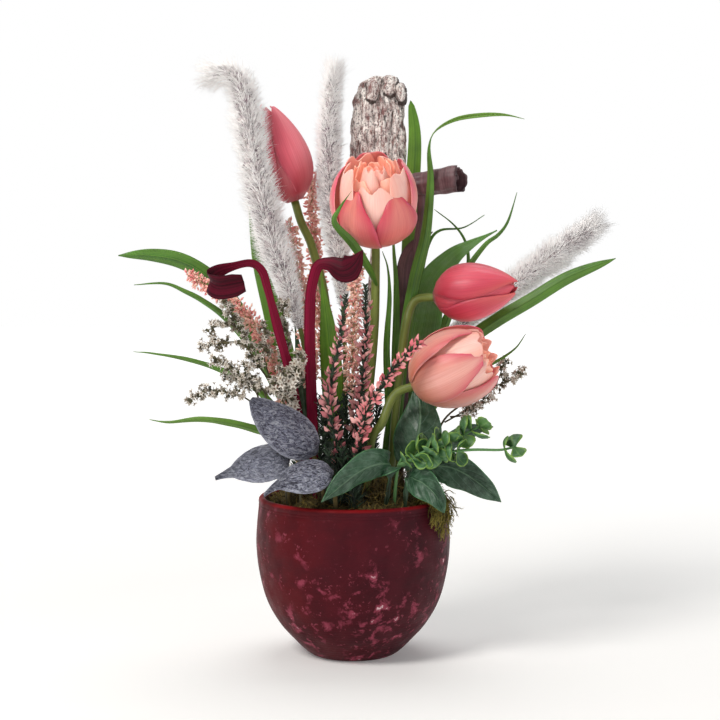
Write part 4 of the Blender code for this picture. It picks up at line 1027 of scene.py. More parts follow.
def curl_outline(s):
    return 0.4 + 0.6 * smooth_step(0.78, 0.92, s) - 0.25 * np.clip((s - 0.97) / 0.03, 0, 1)


def hood_outline(s):
    return 0.4 + 0.6 * smooth_step(0.8, 0.91, s) - 0.96 * np.clip((s - 0.92) / 0.08, 0, 1)


def blunt_outline(s):
    return np.sqrt(np.clip(1 - s**12, 0.001, 1)) * (0.45 + 0.55 * smooth_step(0.2, 0.75, s))


def strap_outline(s):
    return 0.8 + 0.2 * s


def folded_tip_outline(s):
    return np.minimum(1, 0.42 + 0.58 * np.clip((s - 0.5) / 0.25, 0, 1)) * (1 - s**8) + 0.02


def leaf_grid(points, half_width, outline, sides=(RIGHT, RIGHT), cup=0.25, stalk=0, rows=60, columns=13,
              wave=0.0, waves=5, groove=0.35, quilt=0.0, seed=0.0):
    """The middle surface of a leaf along a path, with a groove along its middle and a waved edge."""
    path = smooth_path(points, rows)
    tangent = headings(path)
    s = np.linspace(0, 1, rows + 1)
    directions = np.array([unit(np.array(side, float)) for side in sides])
    side = np.column_stack([spread_evenly(directions[:, axis], s) for axis in range(3)])
    side = unit(side - tangent * np.sum(side * tangent, axis=1, keepdims=True))
    normal = np.cross(tangent, side)
    bare = stalk * MM / path_length(path)
    reach = half_width * outline(np.clip((s - bare) / (1 - bare), 0, 1))
    if stalk:
        opening = smooth_step(bare, bare + 0.1, s)
        reach = STALK_HALF_WIDTH * (1 - opening) + reach * opening
    u = np.linspace(-1, 1, columns)
    lift = cup * np.abs(u)[None, :] * reach[:, None]
    lift = lift - groove * np.exp(-((u / 0.1) ** 2))[None, :] * np.minimum(1, reach / 4)[:, None]
    lift = lift + wave * (u**2)[None, :] * np.sin(2 * math.pi * waves * s[:, None] + 1.5 * u[None, :] + seed)
    if quilt:
        cells = np.sin(2 * math.pi * (9 * s[:, None] - 2.2 * np.abs(u)[None, :]))
        lift = lift + quilt * cells * np.sin(math.pi * np.abs(u))[None, :]
    return (path[:, None] + side[:, None] * (u[None, :] * reach[:, None] * MM)[..., None]
            + normal[:, None] * (lift * MM)[..., None])


TULIP_STEM_RADII = (2.7, 2.7, 2.9, 3.2, 2.9)
TULIP_STEMS = {
    # name: root, path, the bloom that it leads to
    "stem_bud_left": ((-9, 8), ((-12, 155, 10), (-19, 249, 12), (-29, 293, 14)), "tulip_bud_left"),
    "stem_open_centre": ((7, -8), ((9, 155, -8), (15, 230, -4)), "tulip_open_centre"),
    "stem_bud_right": ((24, -6), ((29, 155, -6), (34, 206, -8), (38, 238, -9)), "tulip_bud_right"),
    "stem_open_right": ((8, -30), ((12, 148, -31), (21, 168, -32)), "tulip_open_right"),
}
STEM_LEAF = ((-12, 140, 8), (-15, 199, 2), (-18, 235, -2), (-21, 260, -3), (-23, 277, -4))
KINKED_LEAF = ((17, 266, -5), (11, 279, -22), (0, 296, -38), (-13, 311, -50), (-10, 321, -53), (-1, 334, -54))
KINKED_SIDES = ((0.4, -0.6, 0.3), (0.6, -0.2, 0.6), (1, 0, 0.2))


def make_tulip_stems(finish, leaf_finish, kinked_finish):
    broad = leaf_grid(spots(STEM_LEAF), 8, tulip_leaf_outline, wave=0.5)
    kinked = leaf_grid(spots(KINKED_LEAF), 3.2, tulip_leaf_outline, KINKED_SIDES)
    leaves = {"stem_bud_left": (broad, 0.8, 0.4, leaf_finish),
              "stem_open_centre": (kinked, 0.7, 0.3, kinked_finish)}
    for name, (root, path, bloom) in TULIP_STEMS.items():
        shapes = Shapes()
        finishes = [finish]
        line = [rooted(*root, ROOT_IN_FOAM), *spots(path), *stem_under(bloom)]
        add_stem(shapes, line, TULIP_STEM_RADII, 70, 16)
        if name in leaves:
            grid, thickness, tint, own_finish = leaves[name]
            add_sheet(shapes, grid, thickness, tint, 1)
            finishes.append(own_finish)
        shapes.piece(name + "_green", finishes, [name])


# Furry plumes
PLUMES = {
    # name: root, stem's path, head's path, radii along the head
    "plume_left": ((-21, -10), ((-25, 150, -12), (-31, 199, -13)),
                   ((-38, 236, -15), (-49, 274, -16), (-59, 303, -17), (-68, 342, -17), (-74, 377, -17),
                    (-77, 400, -17), (-85, 415, -18), (-102, 416, -18)),
                   (3, 10, 13, 14, 13.5, 13, 13.5, 12, 5)),
    "plume_centre": ((-4, 24), ((-5, 155, 22), (-6, 227, 20)),
                     ((-7, 252, 19), (-11, 296, 19), (-15, 324, 19), (-17, 356, 19), (-16, 391, 19),
                      (-13, 421, 20)),
                     (3, 8, 10, 10.5, 10, 9.5, 9, 4)),
    "plume_right": ((28, 24), ((33, 155, 26), (50, 206, 27)),
                    ((66, 230, 28), (84, 243, 28), (109, 262, 29), (134, 281, 30), (159, 299, 31),
                     (173, 310, 32)),
                    (3, 7, 9.5, 11, 12, 12.5, 11, 4)),
}
# Hairs on each plume, the longest of them in millimetres, and the dark specks among them
HAIRS = 9500
LONGEST_HAIR = 15
SPECKS = 500


def make_plumes(core, fur, stem):
    for name, (root, stem_path, head_path, radii) in PLUMES.items():
        shapes = Shapes()
        head = spots(head_path)
        line = [rooted(*root, ROOT_IN_FOAM), *spots(stem_path), head[0], head[0].lerp(head[1], 0.4)]
        add_stem(shapes, line, (1.6, 1.6), 40, 8, 0.5, 2)
        rows, facets = 110, 20
        spine = smooth_path(head, rows)
        s = np.linspace(0, 1, rows + 1)
        radius = spread_evenly(radii, s)
        rings, out = tube_grid(spine, radius * 0.5, facets)
        lumps = rough_field(rings.reshape(-1, 3), 260, 2.0).reshape(rings.shape[:2])
        rings = rings + out * (lumps * radius[:, None] * 0.28 * MM)[..., None]
        add_tube(shapes, rings, 0.3)
        add_fur(shapes, spine, radius, spread_evenly((*radii[:-1], radii[-2]), s))
        shapes.piece(name + "_fur", [core, fur, stem], [name])


def add_fur(shapes, spine, radius, full):
    """Hairs all along a spine, rooted within its radius, that reach to its full width, with specks."""
    sides = carried_sides(spine)
    ahead = headings(spine)
    rows = len(spine) - 1
    share = random.uniform(0, 1, HAIRS)
    k = np.minimum((share * rows).astype(int), rows)
    turn = random.uniform(0, 2 * math.pi, HAIRS)
    radial = sides[k] * np.cos(turn)[:, None] + np.cross(ahead[k], sides[k]) * np.sin(turn)[:, None]
    lean = random.uniform(0.1, 1.0, HAIRS) + 1.2 * smooth_step(0.9, 1.0, share)
    heading = unit(radial + ahead[k] * lean[:, None] + random.normal(0, 0.2, (HAIRS, 3)))
    swell = 1 + 0.1 * np.sin(share * 29) + 0.07 * np.sin(share * 61)
    length = full[k] * swell * random.uniform(0.56, 0.74, HAIRS) * np.sqrt(1 + lean**2)
    roots = spine[k] + radial * (radius[k] * random.uniform(0.34, 0.52, HAIRS) * MM)[:, None]
    bend = random.normal(0, 0.12, (HAIRS, 3)) + ahead[k] * 0.05
    add_hairs(shapes, roots, heading, np.minimum(length, LONGEST_HAIR), random.uniform(0.2, 0.36, HAIRS),
              random.uniform(0, 1, HAIRS), 1, bend)
    pick = random.integers(0, HAIRS, SPECKS)
    add_hairs(shapes, roots[pick] + radial[pick] * 1.5 * MM, heading[pick], random.uniform(1.5, 3.5, SPECKS),
              np.full(SPECKS, 0.28), np.full(SPECKS, 1.0))


# The weathered seed pod
BARK_DEPTH = 34
# Each knob's place across and up, half width, half height and lean
BARK_LOBES = ((14, 403, 7, 9, 2.5), (26, 407, 7.5, 8, 0), (34, 402, 5, 8, -1.5))
BARK_LOBE_THICKNESS = 12.5


def make_bark_pod(finish):
    """A flat grooved body with knobs at its top. Its tint is low in the deepest grooves, at the knobs' sides
    and under the knobs, where the finish paints shade.
    """
    shapes = Shapes()
    line = [rooted(4, 38, ROOT_IN_FOAM), *spots(((6, 155, 36), (12, 256, 35), (16, 310, BARK_DEPTH)))]
    add_stem(shapes, line, (1.8, 1.8, 2.2), 40, 10)
    body = spots([(x, z, BARK_DEPTH) for x, z in ((16, 300), (18, 340), (18, 370), (18, 395), (20, 415))])
    rows, facets = 150, 110
    s = np.linspace(0, 1, rows + 1)
    radius = spread_evenly((3, 14, 20, 20.5, 20, 18.5, 13), s) * np.sqrt(np.clip((1 - s) * 14 + 0.15, 0, 1))
    rings, out = tube_grid(smooth_path(body, rows), radius, facets, RIGHT)
    middle = np.array(spot(18, 360, BARK_DEPTH))
    x, y, z = np.moveaxis(rings, -1, 0)
    warp = rough_field(rings.reshape(-1, 3), 45, 3.0, 3).reshape(x.shape)
    groove = np.sin((x - middle[0]) * 950 + z * 30 + warp * 6.0)
    y = middle[1] + (y - middle[1]) * 0.42 * (1 + 0.12 * np.sin((x - middle[0]) * 520 + z * 30))
    rings = np.stack([x, y, z], axis=-1)
    fine = rough_field(rings.reshape(-1, 3) * np.array((1, 1, 0.3)), 420, 1.0).reshape(x.shape)
    carve = 0.9 * np.clip(groove, -1, 0.2) + 0.9 * fine
    add_tube(shapes, rings + out * (carve * MM)[..., None])
    # The body's tint is lowest where it is carved deepest, for painted shade in the grooves.
    shapes.set_tint(np.clip(0.75 + 0.5 * carve, 0, 1), 0.6)
    for across, up, wide, tall, lean in BARK_LOBES:
        t = np.linspace(-1, 1, 35)
        offset = np.column_stack([lean * t, -1.5 * (1 - t * t), tall * t]) * MM
        path = np.array(spot(across, up, BARK_DEPTH)) + offset
        radius = np.sqrt(np.clip(1 - t**4, 0.01, 1)) * wide * (0.85 + 0.15 * t)
        lobe, outward = tube_grid(path, radius, 44, RIGHT)
        lobe[..., 1] = path[:, None, 1] + (lobe[..., 1] - path[:, None, 1]) * BARK_LOBE_THICKNESS / wide
        bumps = rough_field(lobe.reshape(-1, 3), 330, 5.0).reshape(lobe.shape[:2])
        add_tube(shapes, lobe + outward * (bumps * 0.9 * MM)[..., None])
        low = smooth_step(-0.3, -0.7, t)[:, None]
        # The knobs' tint is low at their sides and under them, for painted shade.
        painted_shade_tint = 0.95 - 1.05 * np.abs(outward[..., 0]) ** 1.6 - 0.95 * low + 0.3 * bumps
        shapes.set_tint(np.clip(painted_shade_tint, 0, 1), 0.5)
    shapes.piece("bark_pod_weathered", [finish], ["bark_pod"])


# Leaves that bend over or roll up at their tops
BURGUNDY_LEAVES = {
    # name: root, path, half width, outline, sideways directions, cup, wave, seed
    "burgundy_leaf_left": ((-33, -22), ((-38, 160, -28), (-45, 201, -40), (-53, 231, -43), (-62, 265, -44),
                                        (-66, 277, -44), (-73, 282, -44), (-85, 280, -46), (-96, 276, -48),
                                        (-102, 270, -52), (-95, 266, -57), (-78, 269, -59)), 8.5,
                           curl_outline, (RIGHT, RIGHT, RIGHT, (0.7, -0.3, 0.6), (0, -0.5, 0.85),
                                          (0.1, -0.3, 0.95)), 0.3, 0.6, 0),
    "burgundy_leaf_centre": ((-26, -33), ((-29, 159, -34), (-31, 220, -42), (-31, 254, -46), (-29, 270, -47),
                                          (-25, 281, -48), (-17, 282, -50), (-8, 278, -54), (0, 282, -58),
                                          (7, 292, -61)), 9.5, hood_outline,
                             (RIGHT, RIGHT, RIGHT, RIGHT, (0.6, -0.2, -0.7), (0.3, -0.3, -0.9)), 0.25,
                             0.5, 2.0),
}


def make_burgundy_leaves(finish):
    for name, (root, path, half_width, outline, sides, cup, wave, seed) in BURGUNDY_LEAVES.items():
        shapes = Shapes()
        line = [rooted(*root), *spots(path)]
        grid = leaf_grid(line, half_width, outline, sides, cup, STALK, 120, 17, wave, 7, 0.5, seed=seed)
        add_sheet(shapes, grid, 0.7)
        shapes.piece(name + "_curl", [finish], [name])


ROLLED_ROOT = (34, 10)
ROLLED_PATH = ((36, 159, 11), (39, 235, 10), (43, 263, 10), (46, 292, 10), (49, 317, 9), (49, 336, 8))
ROLL_AXIS = ((43, 338, 15), (77, 343, -2))
ROLL_START, ROLL_TURN = 0.6, 7.4
BENT_ROOT = (34, 17)
BENT_PATH = ((36, 159, 17), (36, 235, 17), (37, 270, 17), (39, 286, 17), (45, 296, 17), (57, 305, 15))


def scroll_grid():
    """A sheet that is rolled up round its axis and ragged at the far end."""
    start, stop = (np.array(spot(*end)) for end in ROLL_AXIS)
    along = unit(stop - start)
    upward = unit(np.array(UP) - along * along[2])
    outward = np.cross(along, upward)
    v, u = np.meshgrid(np.linspace(0, 1, 90), np.linspace(-1, 1, 21), indexing="ij")
    turn = ROLL_START + ROLL_TURN * v
    share = (u + 1) / 2
    creases = 0.3 * np.sin(turn * 9 + 2 * u) + 0.25 * np.sin(u * 9 + 2 * np.sin(turn * 1.5))
    radius = (9.5 + 1.5 * share - 4.4 * v + creases) * MM
    ragged = (1.1 * np.sin(turn * 1.7) + 0.5 * np.sin(turn * 4.3) + 0.3 * np.sin(turn * 9.1)) * MM
    axis = start + (stop - start) * share[..., None] + along * (ragged * share**3)[..., None]
    return axis + upward * (radius * np.cos(turn))[..., None] + outward * (radius * np.sin(turn))[..., None]


def make_mauve_leaves(finish):
    shapes = Shapes()
    line = [rooted(*ROLLED_ROOT), *spots(ROLLED_PATH)]
    add_sheet(shapes, leaf_grid(line, 3.4, strap_outline, stalk=STALK, rows=70, columns=9), 0.8)
    add_sheet(shapes, scroll_grid(), 0.7, 0.7)
    shapes.piece("mauve_leaf_scroll", [finish], ["mauve_leaf_rolled"])
    shapes = Shapes()
    line = [rooted(*BENT_ROOT), *spots(BENT_PATH)]
    sides = (RIGHT, RIGHT, RIGHT, (0.7, 0, -0.7))
    grid = leaf_grid(line, 7.5, folded_tip_outline, sides, stalk=STALK, rows=80, wave=0.5)
    add_sheet(shapes, grid, 0.7, 0.4)
    shapes.piece("mauve_leaf_folded", [finish], ["mauve_leaf_bent"])


# Grasses: tufts of blades on one foot
GRASSES = {
    # name: root, then each blade's path, half width, outline and first and last side directions
    "grass_left": ((-33, 16), (
        (((-38, 163, 15), (-51, 195, 12), (-65, 220, 10), (-79, 242, 8), (-92, 260, 7), (-106, 274, 6),
          (-124, 284, 6), (-145, 288, 6), (-168, 288, 6)), 6.2, broad_grass_outline, (0.7, 0, 0.7),
         (0.3, -0.3, 0.9)),
        (((-40, 163, 13), (-55, 192, 6), (-70, 218, 2), (-90, 242, 0), (-107, 255, -1), (-120, 262, -2),
          (-135, 268, -2), (-157, 267, -2)), 3.4, grass_outline, (0.7, 0, 0.7), (0.3, -0.3, 0.9)),
        (((-42, 158, 12), (-66, 189, 4), (-81, 199, 0), (-101, 208, -2), (-122, 214, -3), (-146, 218, -3),
          (-158, 219, -3)), 2.8, grass_outline, (0.5, 0, 0.8), (0.1, -0.3, 0.9)),
        (((-42, 147, 10), (-53, 158, 4), (-68, 162, 2), (-87, 167, 0), (-110, 170, -1), (-133, 168, -1),
          (-147, 170, -1)), 3.3, grass_outline, (0.2, -0.2, 0.9), (0.1, -0.3, 0.9)))),
    "grass_centre": ((25, 3), (
        (((31, 162, 3), (37, 227, 2), (44, 270, -1), (51, 299, -5), (54, 324, -8), (55, 345, -9),
          (54, 365, -9), (59, 377, -9), (73, 385, -9), (92, 388, -9), (108, 388, -9), (122, 385, -10)), 4.6,
         folded_grass_outline, (1, 0, 0), (0.3, -0.4, 0.9)),
        (((26, 170, 1), (24, 220, 0), (26, 256, 0), (25, 278, -1), (21, 291, -2)), 3.0, grass_outline,
         (1, 0, 0), (0.9, -0.3, 0)),
        (((29, 170, 5), (31, 235, 7), (31, 267, 10), (29, 296, 12), (29, 314, 14)), 3.2, grass_outline,
         (1, 0, 0), (1, 0.2, 0)))),
    "grass_right": ((43, 9), (
        (((45, 162, 12), (54, 206, 14), (67, 240, 13), (79, 273, 12), (94, 295, 10), (104, 303, 9),
          (111, 313, 8), (117, 333, 6)), 3.2, grass_outline, (0.9, 0, -0.3), (0.9, 0, -0.4)),
        (((47, 162, 12), (58, 196, 12), (81, 225, 10), (102, 241, 9), (127, 256, 8), (155, 273, 8),
          (188, 286, 8)), 5.0, broad_grass_outline, (0.8, 0, -0.5), (0.4, -0.2, -0.9)),
        (((48, 158, 11), (66, 190, 7), (88, 205, 5), (101, 211, 3), (111, 217, 1), (118, 223, 0),
          (124, 232, -1)), 2.2, grass_outline, (0.7, 0, -0.6), (0.7, -0.2, -0.7)))),
    "grass_back": ((24, 42), (
        (((31, 162, 44), (41, 227, 44), (48, 270, 42), (54, 296, 40), (62, 306, 38), (79, 308, 37),
          (94, 317, 36)), 2.2, grass_outline, (1, 0, 0), (0.3, -0.2, -0.9)),
        (((36, 162, 44), (55, 220, 42), (74, 258, 40), (82, 278, 39), (81, 296, 38), (73, 309, 36),
          (58, 321, 35)), 2.4, grass_outline, (1, 0, 0), (0.8, 0, 0.6)))),
}


# The share of the folded blade's length where it folds, and the tint that its finish shows as the paler back
FOLD = 0.78
BACK_TINT = 1.4


def make_grasses(finish):
    for name, (root, blades) in GRASSES.items():
        foot = rooted(*root)
        shapes = Shapes()
        add_stem(shapes, [foot, foot + Vector((0, 0, 34 * MM))], (2.2, 2.2, 1.4), 10, 10)
        start = foot + Vector((0, 0, 24 * MM))
        for k, (path, half_width, outline, *sides) in enumerate(blades):
            grid = leaf_grid([start, *spots(path)], half_width, outline, sides, 0.35, rows=90, columns=11,
                             wave=0.25, waves=6, groove=0.5, seed=k)
            add_sheet(shapes, grid, 0.7, 0.2 + 0.23 * k)
            if outline is folded_grass_outline:
                place = shapes.places[-1]
                place[place[:, 1] > FOLD, 2] = BACK_TINT
        shapes.piece(name + "_blades", [finish], [name])


SINGLE_LEAVES = {
    # name: root, path, half width, outline, first side, last side, cup
    "leaf_upright": ((18, 30), ((24, 155, 29), (33, 206, 28), (37, 256, 28), (40, 299, 28), (43, 345, 28),
                                (44, 374, 28), (41, 398, 28)), 5.4, blunt_outline, RIGHT, RIGHT, 0.2),
    "leaf_broad": ((45, 21), ((46, 155, 22), (45, 206, 22), (49, 238, 22), (56, 267, 22), (70, 286, 22),
                              (84, 296, 21), (103, 306, 19)), 15,
                   tulip_leaf_outline, RIGHT, (0.6, 0, -0.8), -0.1),
    "leaf_dark_left": ((-30, 4), ((-33, 159, 7), (-35, 184, 9), (-39, 217, 11), (-42, 240, 11)), 5.5,
                       tulip_leaf_outline, RIGHT, RIGHT, 0.2),
    "leaf_behind_plume": ((-24, 22), ((-32, 159, 20), (-45, 199, 20), (-58, 249, 20), (-69, 288, 19),
                                      (-75, 326, 18)), 8, tulip_leaf_outline, RIGHT, RIGHT, 0.2),
    "base_leaf_front": ((20, -42), ((27, 132, -50), (21, 138, -57), (7, 134, -65), (-8, 123, -73),
                                    (-23, 110, -78)), 11, oval_outline, (-0.4, -0.4, 0.8), (-0.5, -0.4, 0.75),
                        0.2),
    "base_leaf_rim": ((36, -42), ((39, 125, -49), (46, 126, -59), (54, 121, -67), (61, 113, -73),
                                  (66, 102, -76)), 10.5,
                      oval_outline, (0.6, -0.45, 0.6), (0.85, -0.3, 0.4), 0.2),
    "base_leaf_right": ((43, -24), ((53, 132, -33), (66, 136, -40), (80, 131, -43), (93, 122, -44),
                                    (107, 110, -43)), 13,
                        oval_outline, (0.2, -0.35, 0.9), (0.5, -0.35, 0.8), 0.2),
    "base_leaf_upright": ((36, -20), ((41, 134, -22), (45, 150, -22), (48, 166, -18), (48, 180, -12),
                                      (45, 193, -6)), 17, oval_outline, RIGHT, RIGHT, 0.2),
    "base_leaf_back": ((49, -7), ((57, 140, -7), (68, 154, -7), (84, 162, -7), (101, 165, -6)), 9,
                       oval_outline, (0, -0.5, 0.85), (0, -0.5, 0.85), 0.2),
}


def make_single_leaves(finishes):
    for number, (name, row) in enumerate(SINGLE_LEAVES.items()):
        root, path, half_width, outline, first, last, cup = row
        base = name.startswith("base")
        line = [rooted(*root), *spots(path)]
        stalk, wave, groove, quilt = (BASE_STALK, 0.9, 0.7, 0.28) if base else (STALK, 0.5, 0.5, 0.0)
        grid = leaf_grid(line, half_width, outline, (first, first, last), cup, stalk, 80, 21, wave, 4, groove,
                         quilt, number)
        shapes = Shapes()
        add_sheet(shapes, grid, 0.8, 0.3 + 0.08 * (number % 4))
        finish = finishes["base" if base else name]
        slot = "leaf_dark" if base or "dark" in name else "leaf_green"
        shapes.piece(name + "_blade", [finish], [name])


# Sprays: stems with side branches that carry small repeats
def ringed(line, spacing, skip):
    """Points, directions and a sideways direction that turns by the golden angle, along a path after skip."""
    length = sum((b - a).length for a, b in zip(line, line[1:]))
    count = max(2, round(length / (spacing * MM)))
    path = smooth_path(line, count)
    for k in range(count + 1):
        if k / count < skip:
            continue
        ahead = Vector(path[min(count, k + 1)] - path[max(0, k - 1)]).normalized()
        side = ahead.orthogonal().normalized()
        side.rotate(Matrix.Rotation(k * GOLDEN_ANGLE, 3, ahead))
        yield np.array(path[k]), np.array(ahead), np.array(side), k / count


def spread_round(line, spacing, skip, turns, lean):
    """Places along a line, the ways that shapes there point, and their shares of its length."""
    places, ways, shares = [], [], []
    for at, ahead, side, share in ringed(line, spacing, skip):
        for turn in turns:
            way = Vector(side)
            way.rotate(Matrix.Rotation(turn, 3, Vector(ahead)))
            places.append(at)
            ways.append(np.array(way) + ahead * lean)
            shares.append(share)
    return np.array(places), np.array(ways), np.array(shares)


def scattered(centres, ahead, reach, count, spread):
    """count roots and directions round each centre, within reach millimetres of it."""
    many = np.repeat(np.arange(len(centres)), count)
    direction = unit(ahead[many] + random.normal(0, spread, (len(many), 3)))
    out = random.uniform(0.35, 1.0, len(many)) * reach * MM
    return centres[many], direction, centres[many] + direction * out[:, None]


def add_branches(shapes, root, path, radius, twigs, finish):
    main = [rooted(*root), *spots(path)]
    add_stem(shapes, main, (radius, radius * 0.8, radius * 0.5), 40, 6, 0.5, finish)
    lines = [main]
    for twig in twigs:
        lines.append(spots(twig))
        add_stem(shapes, lines[-1], (radius * 0.7, radius * 0.4), 16, 6, 0.5, finish)
    return lines


def add_stalks(shapes, near, ahead, tips, width, sway):
    """Thin stalks from near to their tips. Gives the turns of the shapes on them, out of line by sway."""
    reach = np.linalg.norm(tips - near, axis=1) / MM
    add_hairs(shapes, near, ahead, reach, np.full(len(tips), width), random.uniform(0, 1, len(tips)), 1)
    return facing(ahead + random.normal(0, sway, ahead.shape), unit(random.normal(0, 1, ahead.shape)))


def add_needles(shapes, line, spacing, skip, length, finish, stop=1.0):
    """Dark needle leaves all round a stem."""
    places, ways, shares = spread_round(line, spacing, skip, (0.0, 2.1, 4.2), 1.1)
    kept = shares <= stop
    places, ways, shares = places[kept], ways[kept], shares[kept]
    count = len(places)
    ways = unit(ways + random.normal(0, 0.2, (count, 3)))
    wide = random.uniform(0.45, 0.8, count)
    sizes = np.column_stack([wide, wide, length * (1 - 0.5 * shares) * random.uniform(0.6, 1.1, count)])
    turned = facing(ways, unit(random.normal(0, 1, ways.shape)))
    add_copies(shapes, bud_form(3), places, turned, sizes, random.uniform(0, 1, count), finish)


STATICE = {
    # name: root, main path, twigs
    "statice_left": ((-37, -13), ((-42, 162, -18), (-55, 190, -24), (-68, 209, -27), (-77, 224, -28),
                                  (-82, 238, -29), (-92, 254, -30)),
                     (((-75, 221, -28), (-84, 226, -30), (-108, 224, -32)),
                      ((-80, 233, -29), (-90, 239, -31), (-101, 236, -33)),
                      ((-60, 199, -25), (-64, 216, -26), (-63, 236, -24)),
                      ((-45, 170, -20), (-49, 210, -26), (-50, 254, -34)))),
    "statice_low": ((-46, -20), ((-52, 158, -24), (-66, 176, -28), (-80, 187, -30), (-95, 190, -32),
                                 (-107, 191, -33), (-116, 184, -34)),
                    (((-62, 171, -27), (-74, 196, -30), (-98, 214, -34)),
                     ((-60, 168, -27), (-64, 190, -31), (-78, 208, -36)),
                     ((-70, 179, -28), (-70, 192, -26), (-90, 201, -24)))),
    "statice_front": ((-36, -34), ((-40, 160, -38), (-44, 175, -39), (-46, 189, -45), (-49, 202, -53)),
                      (((-45, 180, -41), (-42, 196, -47), (-40, 214, -52)),
                       ((-45, 181, -41), (-52, 188, -44), (-58, 195, -47)))),
    "statice_right": ((53, 0), ((61, 160, 2), (78, 181, 6), (96, 192, 6), (110, 197, 5), (121, 203, 4)),
                      (((102, 194, 6), (106, 203, 6), (108, 211, 6)),
                       ((66, 168, 3), (80, 176, -2), (98, 187, -6)),
                       ((70, 172, 4), (78, 173, 0), (86, 178, -3)))),
}


STARS_ROUND_A_PLACE = 9
# The shares of a main stem and of a twig that bear no stars
BARE_MAIN, BARE_TWIG = 0.7, 0.38


def make_statice(petals, stem):
    star = star_form()
    for name, (root, path, twigs) in STATICE.items():
        shapes = Shapes()
        lines = add_branches(shapes, root, path, 1.0, twigs, 1)
        bare = [BARE_MAIN] + [BARE_TWIG] * len(twigs)
        rows = [spread_round(line, 4.25, skip, (0.0,), 0.6) for line, skip in zip(lines, bare)]
        places, ways, _ = (np.concatenate(parts) for parts in zip(*rows))
        near, ahead, tips = scattered(places, unit(ways), 6.2, STARS_ROUND_A_PLACE, 0.75)
        turned = add_stalks(shapes, near, ahead, tips, 0.4, 0.25)
        count = len(tips)
        wide = random.uniform(2.1, 3.2, count) * (1.5 if name == "statice_front" else 1.0)
        sizes = np.column_stack([wide, wide, random.uniform(1.5, 2.4, count)])
        add_copies(shapes, star, tips - ahead * 0.8 * MM, turned, sizes, random.uniform(0, 1, count))
        few = random.uniform(0, 1, count) < 0.6
        knobs = sizes[few] * np.array((0.5, 0.5, 1.3))
        add_copies(shapes, bud_form(), tips[few] - ahead[few] * 2.8 * MM, turned[few], knobs,
                   random.uniform(0, 0.5, few.sum()), 1)
        shapes.piece(name + "_stars", [petals, stem], [name], 30)


PINK_SPRAYS = {
    # name: root, path, share of the path before the first bud
    "pink_spray_left": ((-40, 4), ((-42, 161, 0), (-54, 205, -8), (-66, 232, -11), (-80, 250, -13),
                                   (-97, 262, -14), (-117, 273, -15)), 0.42),
    "pink_spray_middle": ((-20, 0), ((-26, 159, 1), (-32, 213, 1), (-36, 256, 2), (-41, 288, 3),
                                     (-45, 309, 4)), 0.5),
    "pink_spray_back": ((-14, 38), ((-17, 159, 40), (-22, 227, 42), (-25, 270, 43), (-28, 303, 43),
                                    (-30, 344, 43)), 0.5),
    "pink_spray_centre": ((0, 6), ((-1, 159, 6), (0, 220, 5), (1, 253, 4), (3, 287, 3)), 0.5),
}


BUDS_ROUND_A_PLACE = 26


def make_pink_sprays(buds, stem, needles):
    bud = bud_form()
    for name, (root, path, skip) in PINK_SPRAYS.items():
        shapes = Shapes()
        [line] = add_branches(shapes, root, path, 1.1, (), 1)
        places, ways, shares = spread_round(line, 3.45, skip * 0.92, (0.0,), 0.5)
        near, ahead, tips = scattered(places, unit(ways), 9.0, BUDS_ROUND_A_PLACE, 0.8)
        taper = np.repeat(1.15 - 0.5 * shares, BUDS_ROUND_A_PLACE)
        tips = near + (tips - near) * taper[:, None]
        turned = add_stalks(shapes, near, ahead, tips, 0.3, 0.3)
        count = len(tips)
        wide = random.uniform(0.7, 1.15, count)
        sizes = np.column_stack([wide, wide, random.uniform(2.2, 4.0, count)])
        tints = np.clip(random.beta(1.2, 1.6, count) + (0.2 if name.endswith(("left", "back")) else 0), 0, 1)
        add_copies(shapes, bud, tips - ahead * 1.2 * MM, turned, sizes, tints)
        add_needles(shapes, line, 1.6, 0.06, 9.0, 2, skip)
        shapes.piece(name + "_buds", [buds, stem, needles], [name])


HEATHERS = {
    # name: root, path, number of loose shoots at its foot
    "heather_left": ((-8, -40), ((-12, 148, -42), (-17, 177, -45), (-16, 196, -45), (-13, 212, -43),
                                 (-9, 228, -42), (-7, 245, -40), (-5, 259, -38)), 8),
    "heather_middle": ((-1, -20), ((2, 160, -24), (6, 191, -28), (8, 215, -29), (9, 232, -29), (9, 250, -29),
                                   (9, 266, -29)), 13),
    "heather_right": ((0, -47), ((3, 144, -49), (9, 175, -55), (14, 184, -58), (22, 197, -62), (30, 208, -65),
                                 (39, 217, -67), (47, 224, -68)), 0),
}
# The heights of loose shoots, in millimetres. Those of the middle spike are tall after the first few.
LOW_SHOOT, TALL_SHOOT = 56, 88
LOW_SHOOTS = 5


def bare_share(name, shares):
    """How many of a spike's bracts are left out: most at its foot and, but for the right spike, its tip."""
    foot = 1 - smooth_step(0.3, 0.5, shares)
    tip = smooth_step(0.82, 0.95, shares) if name != "heather_right" else 0 * shares
    return np.clip(0.12 + 0.7 * foot + 0.8 * tip, 0, 1)


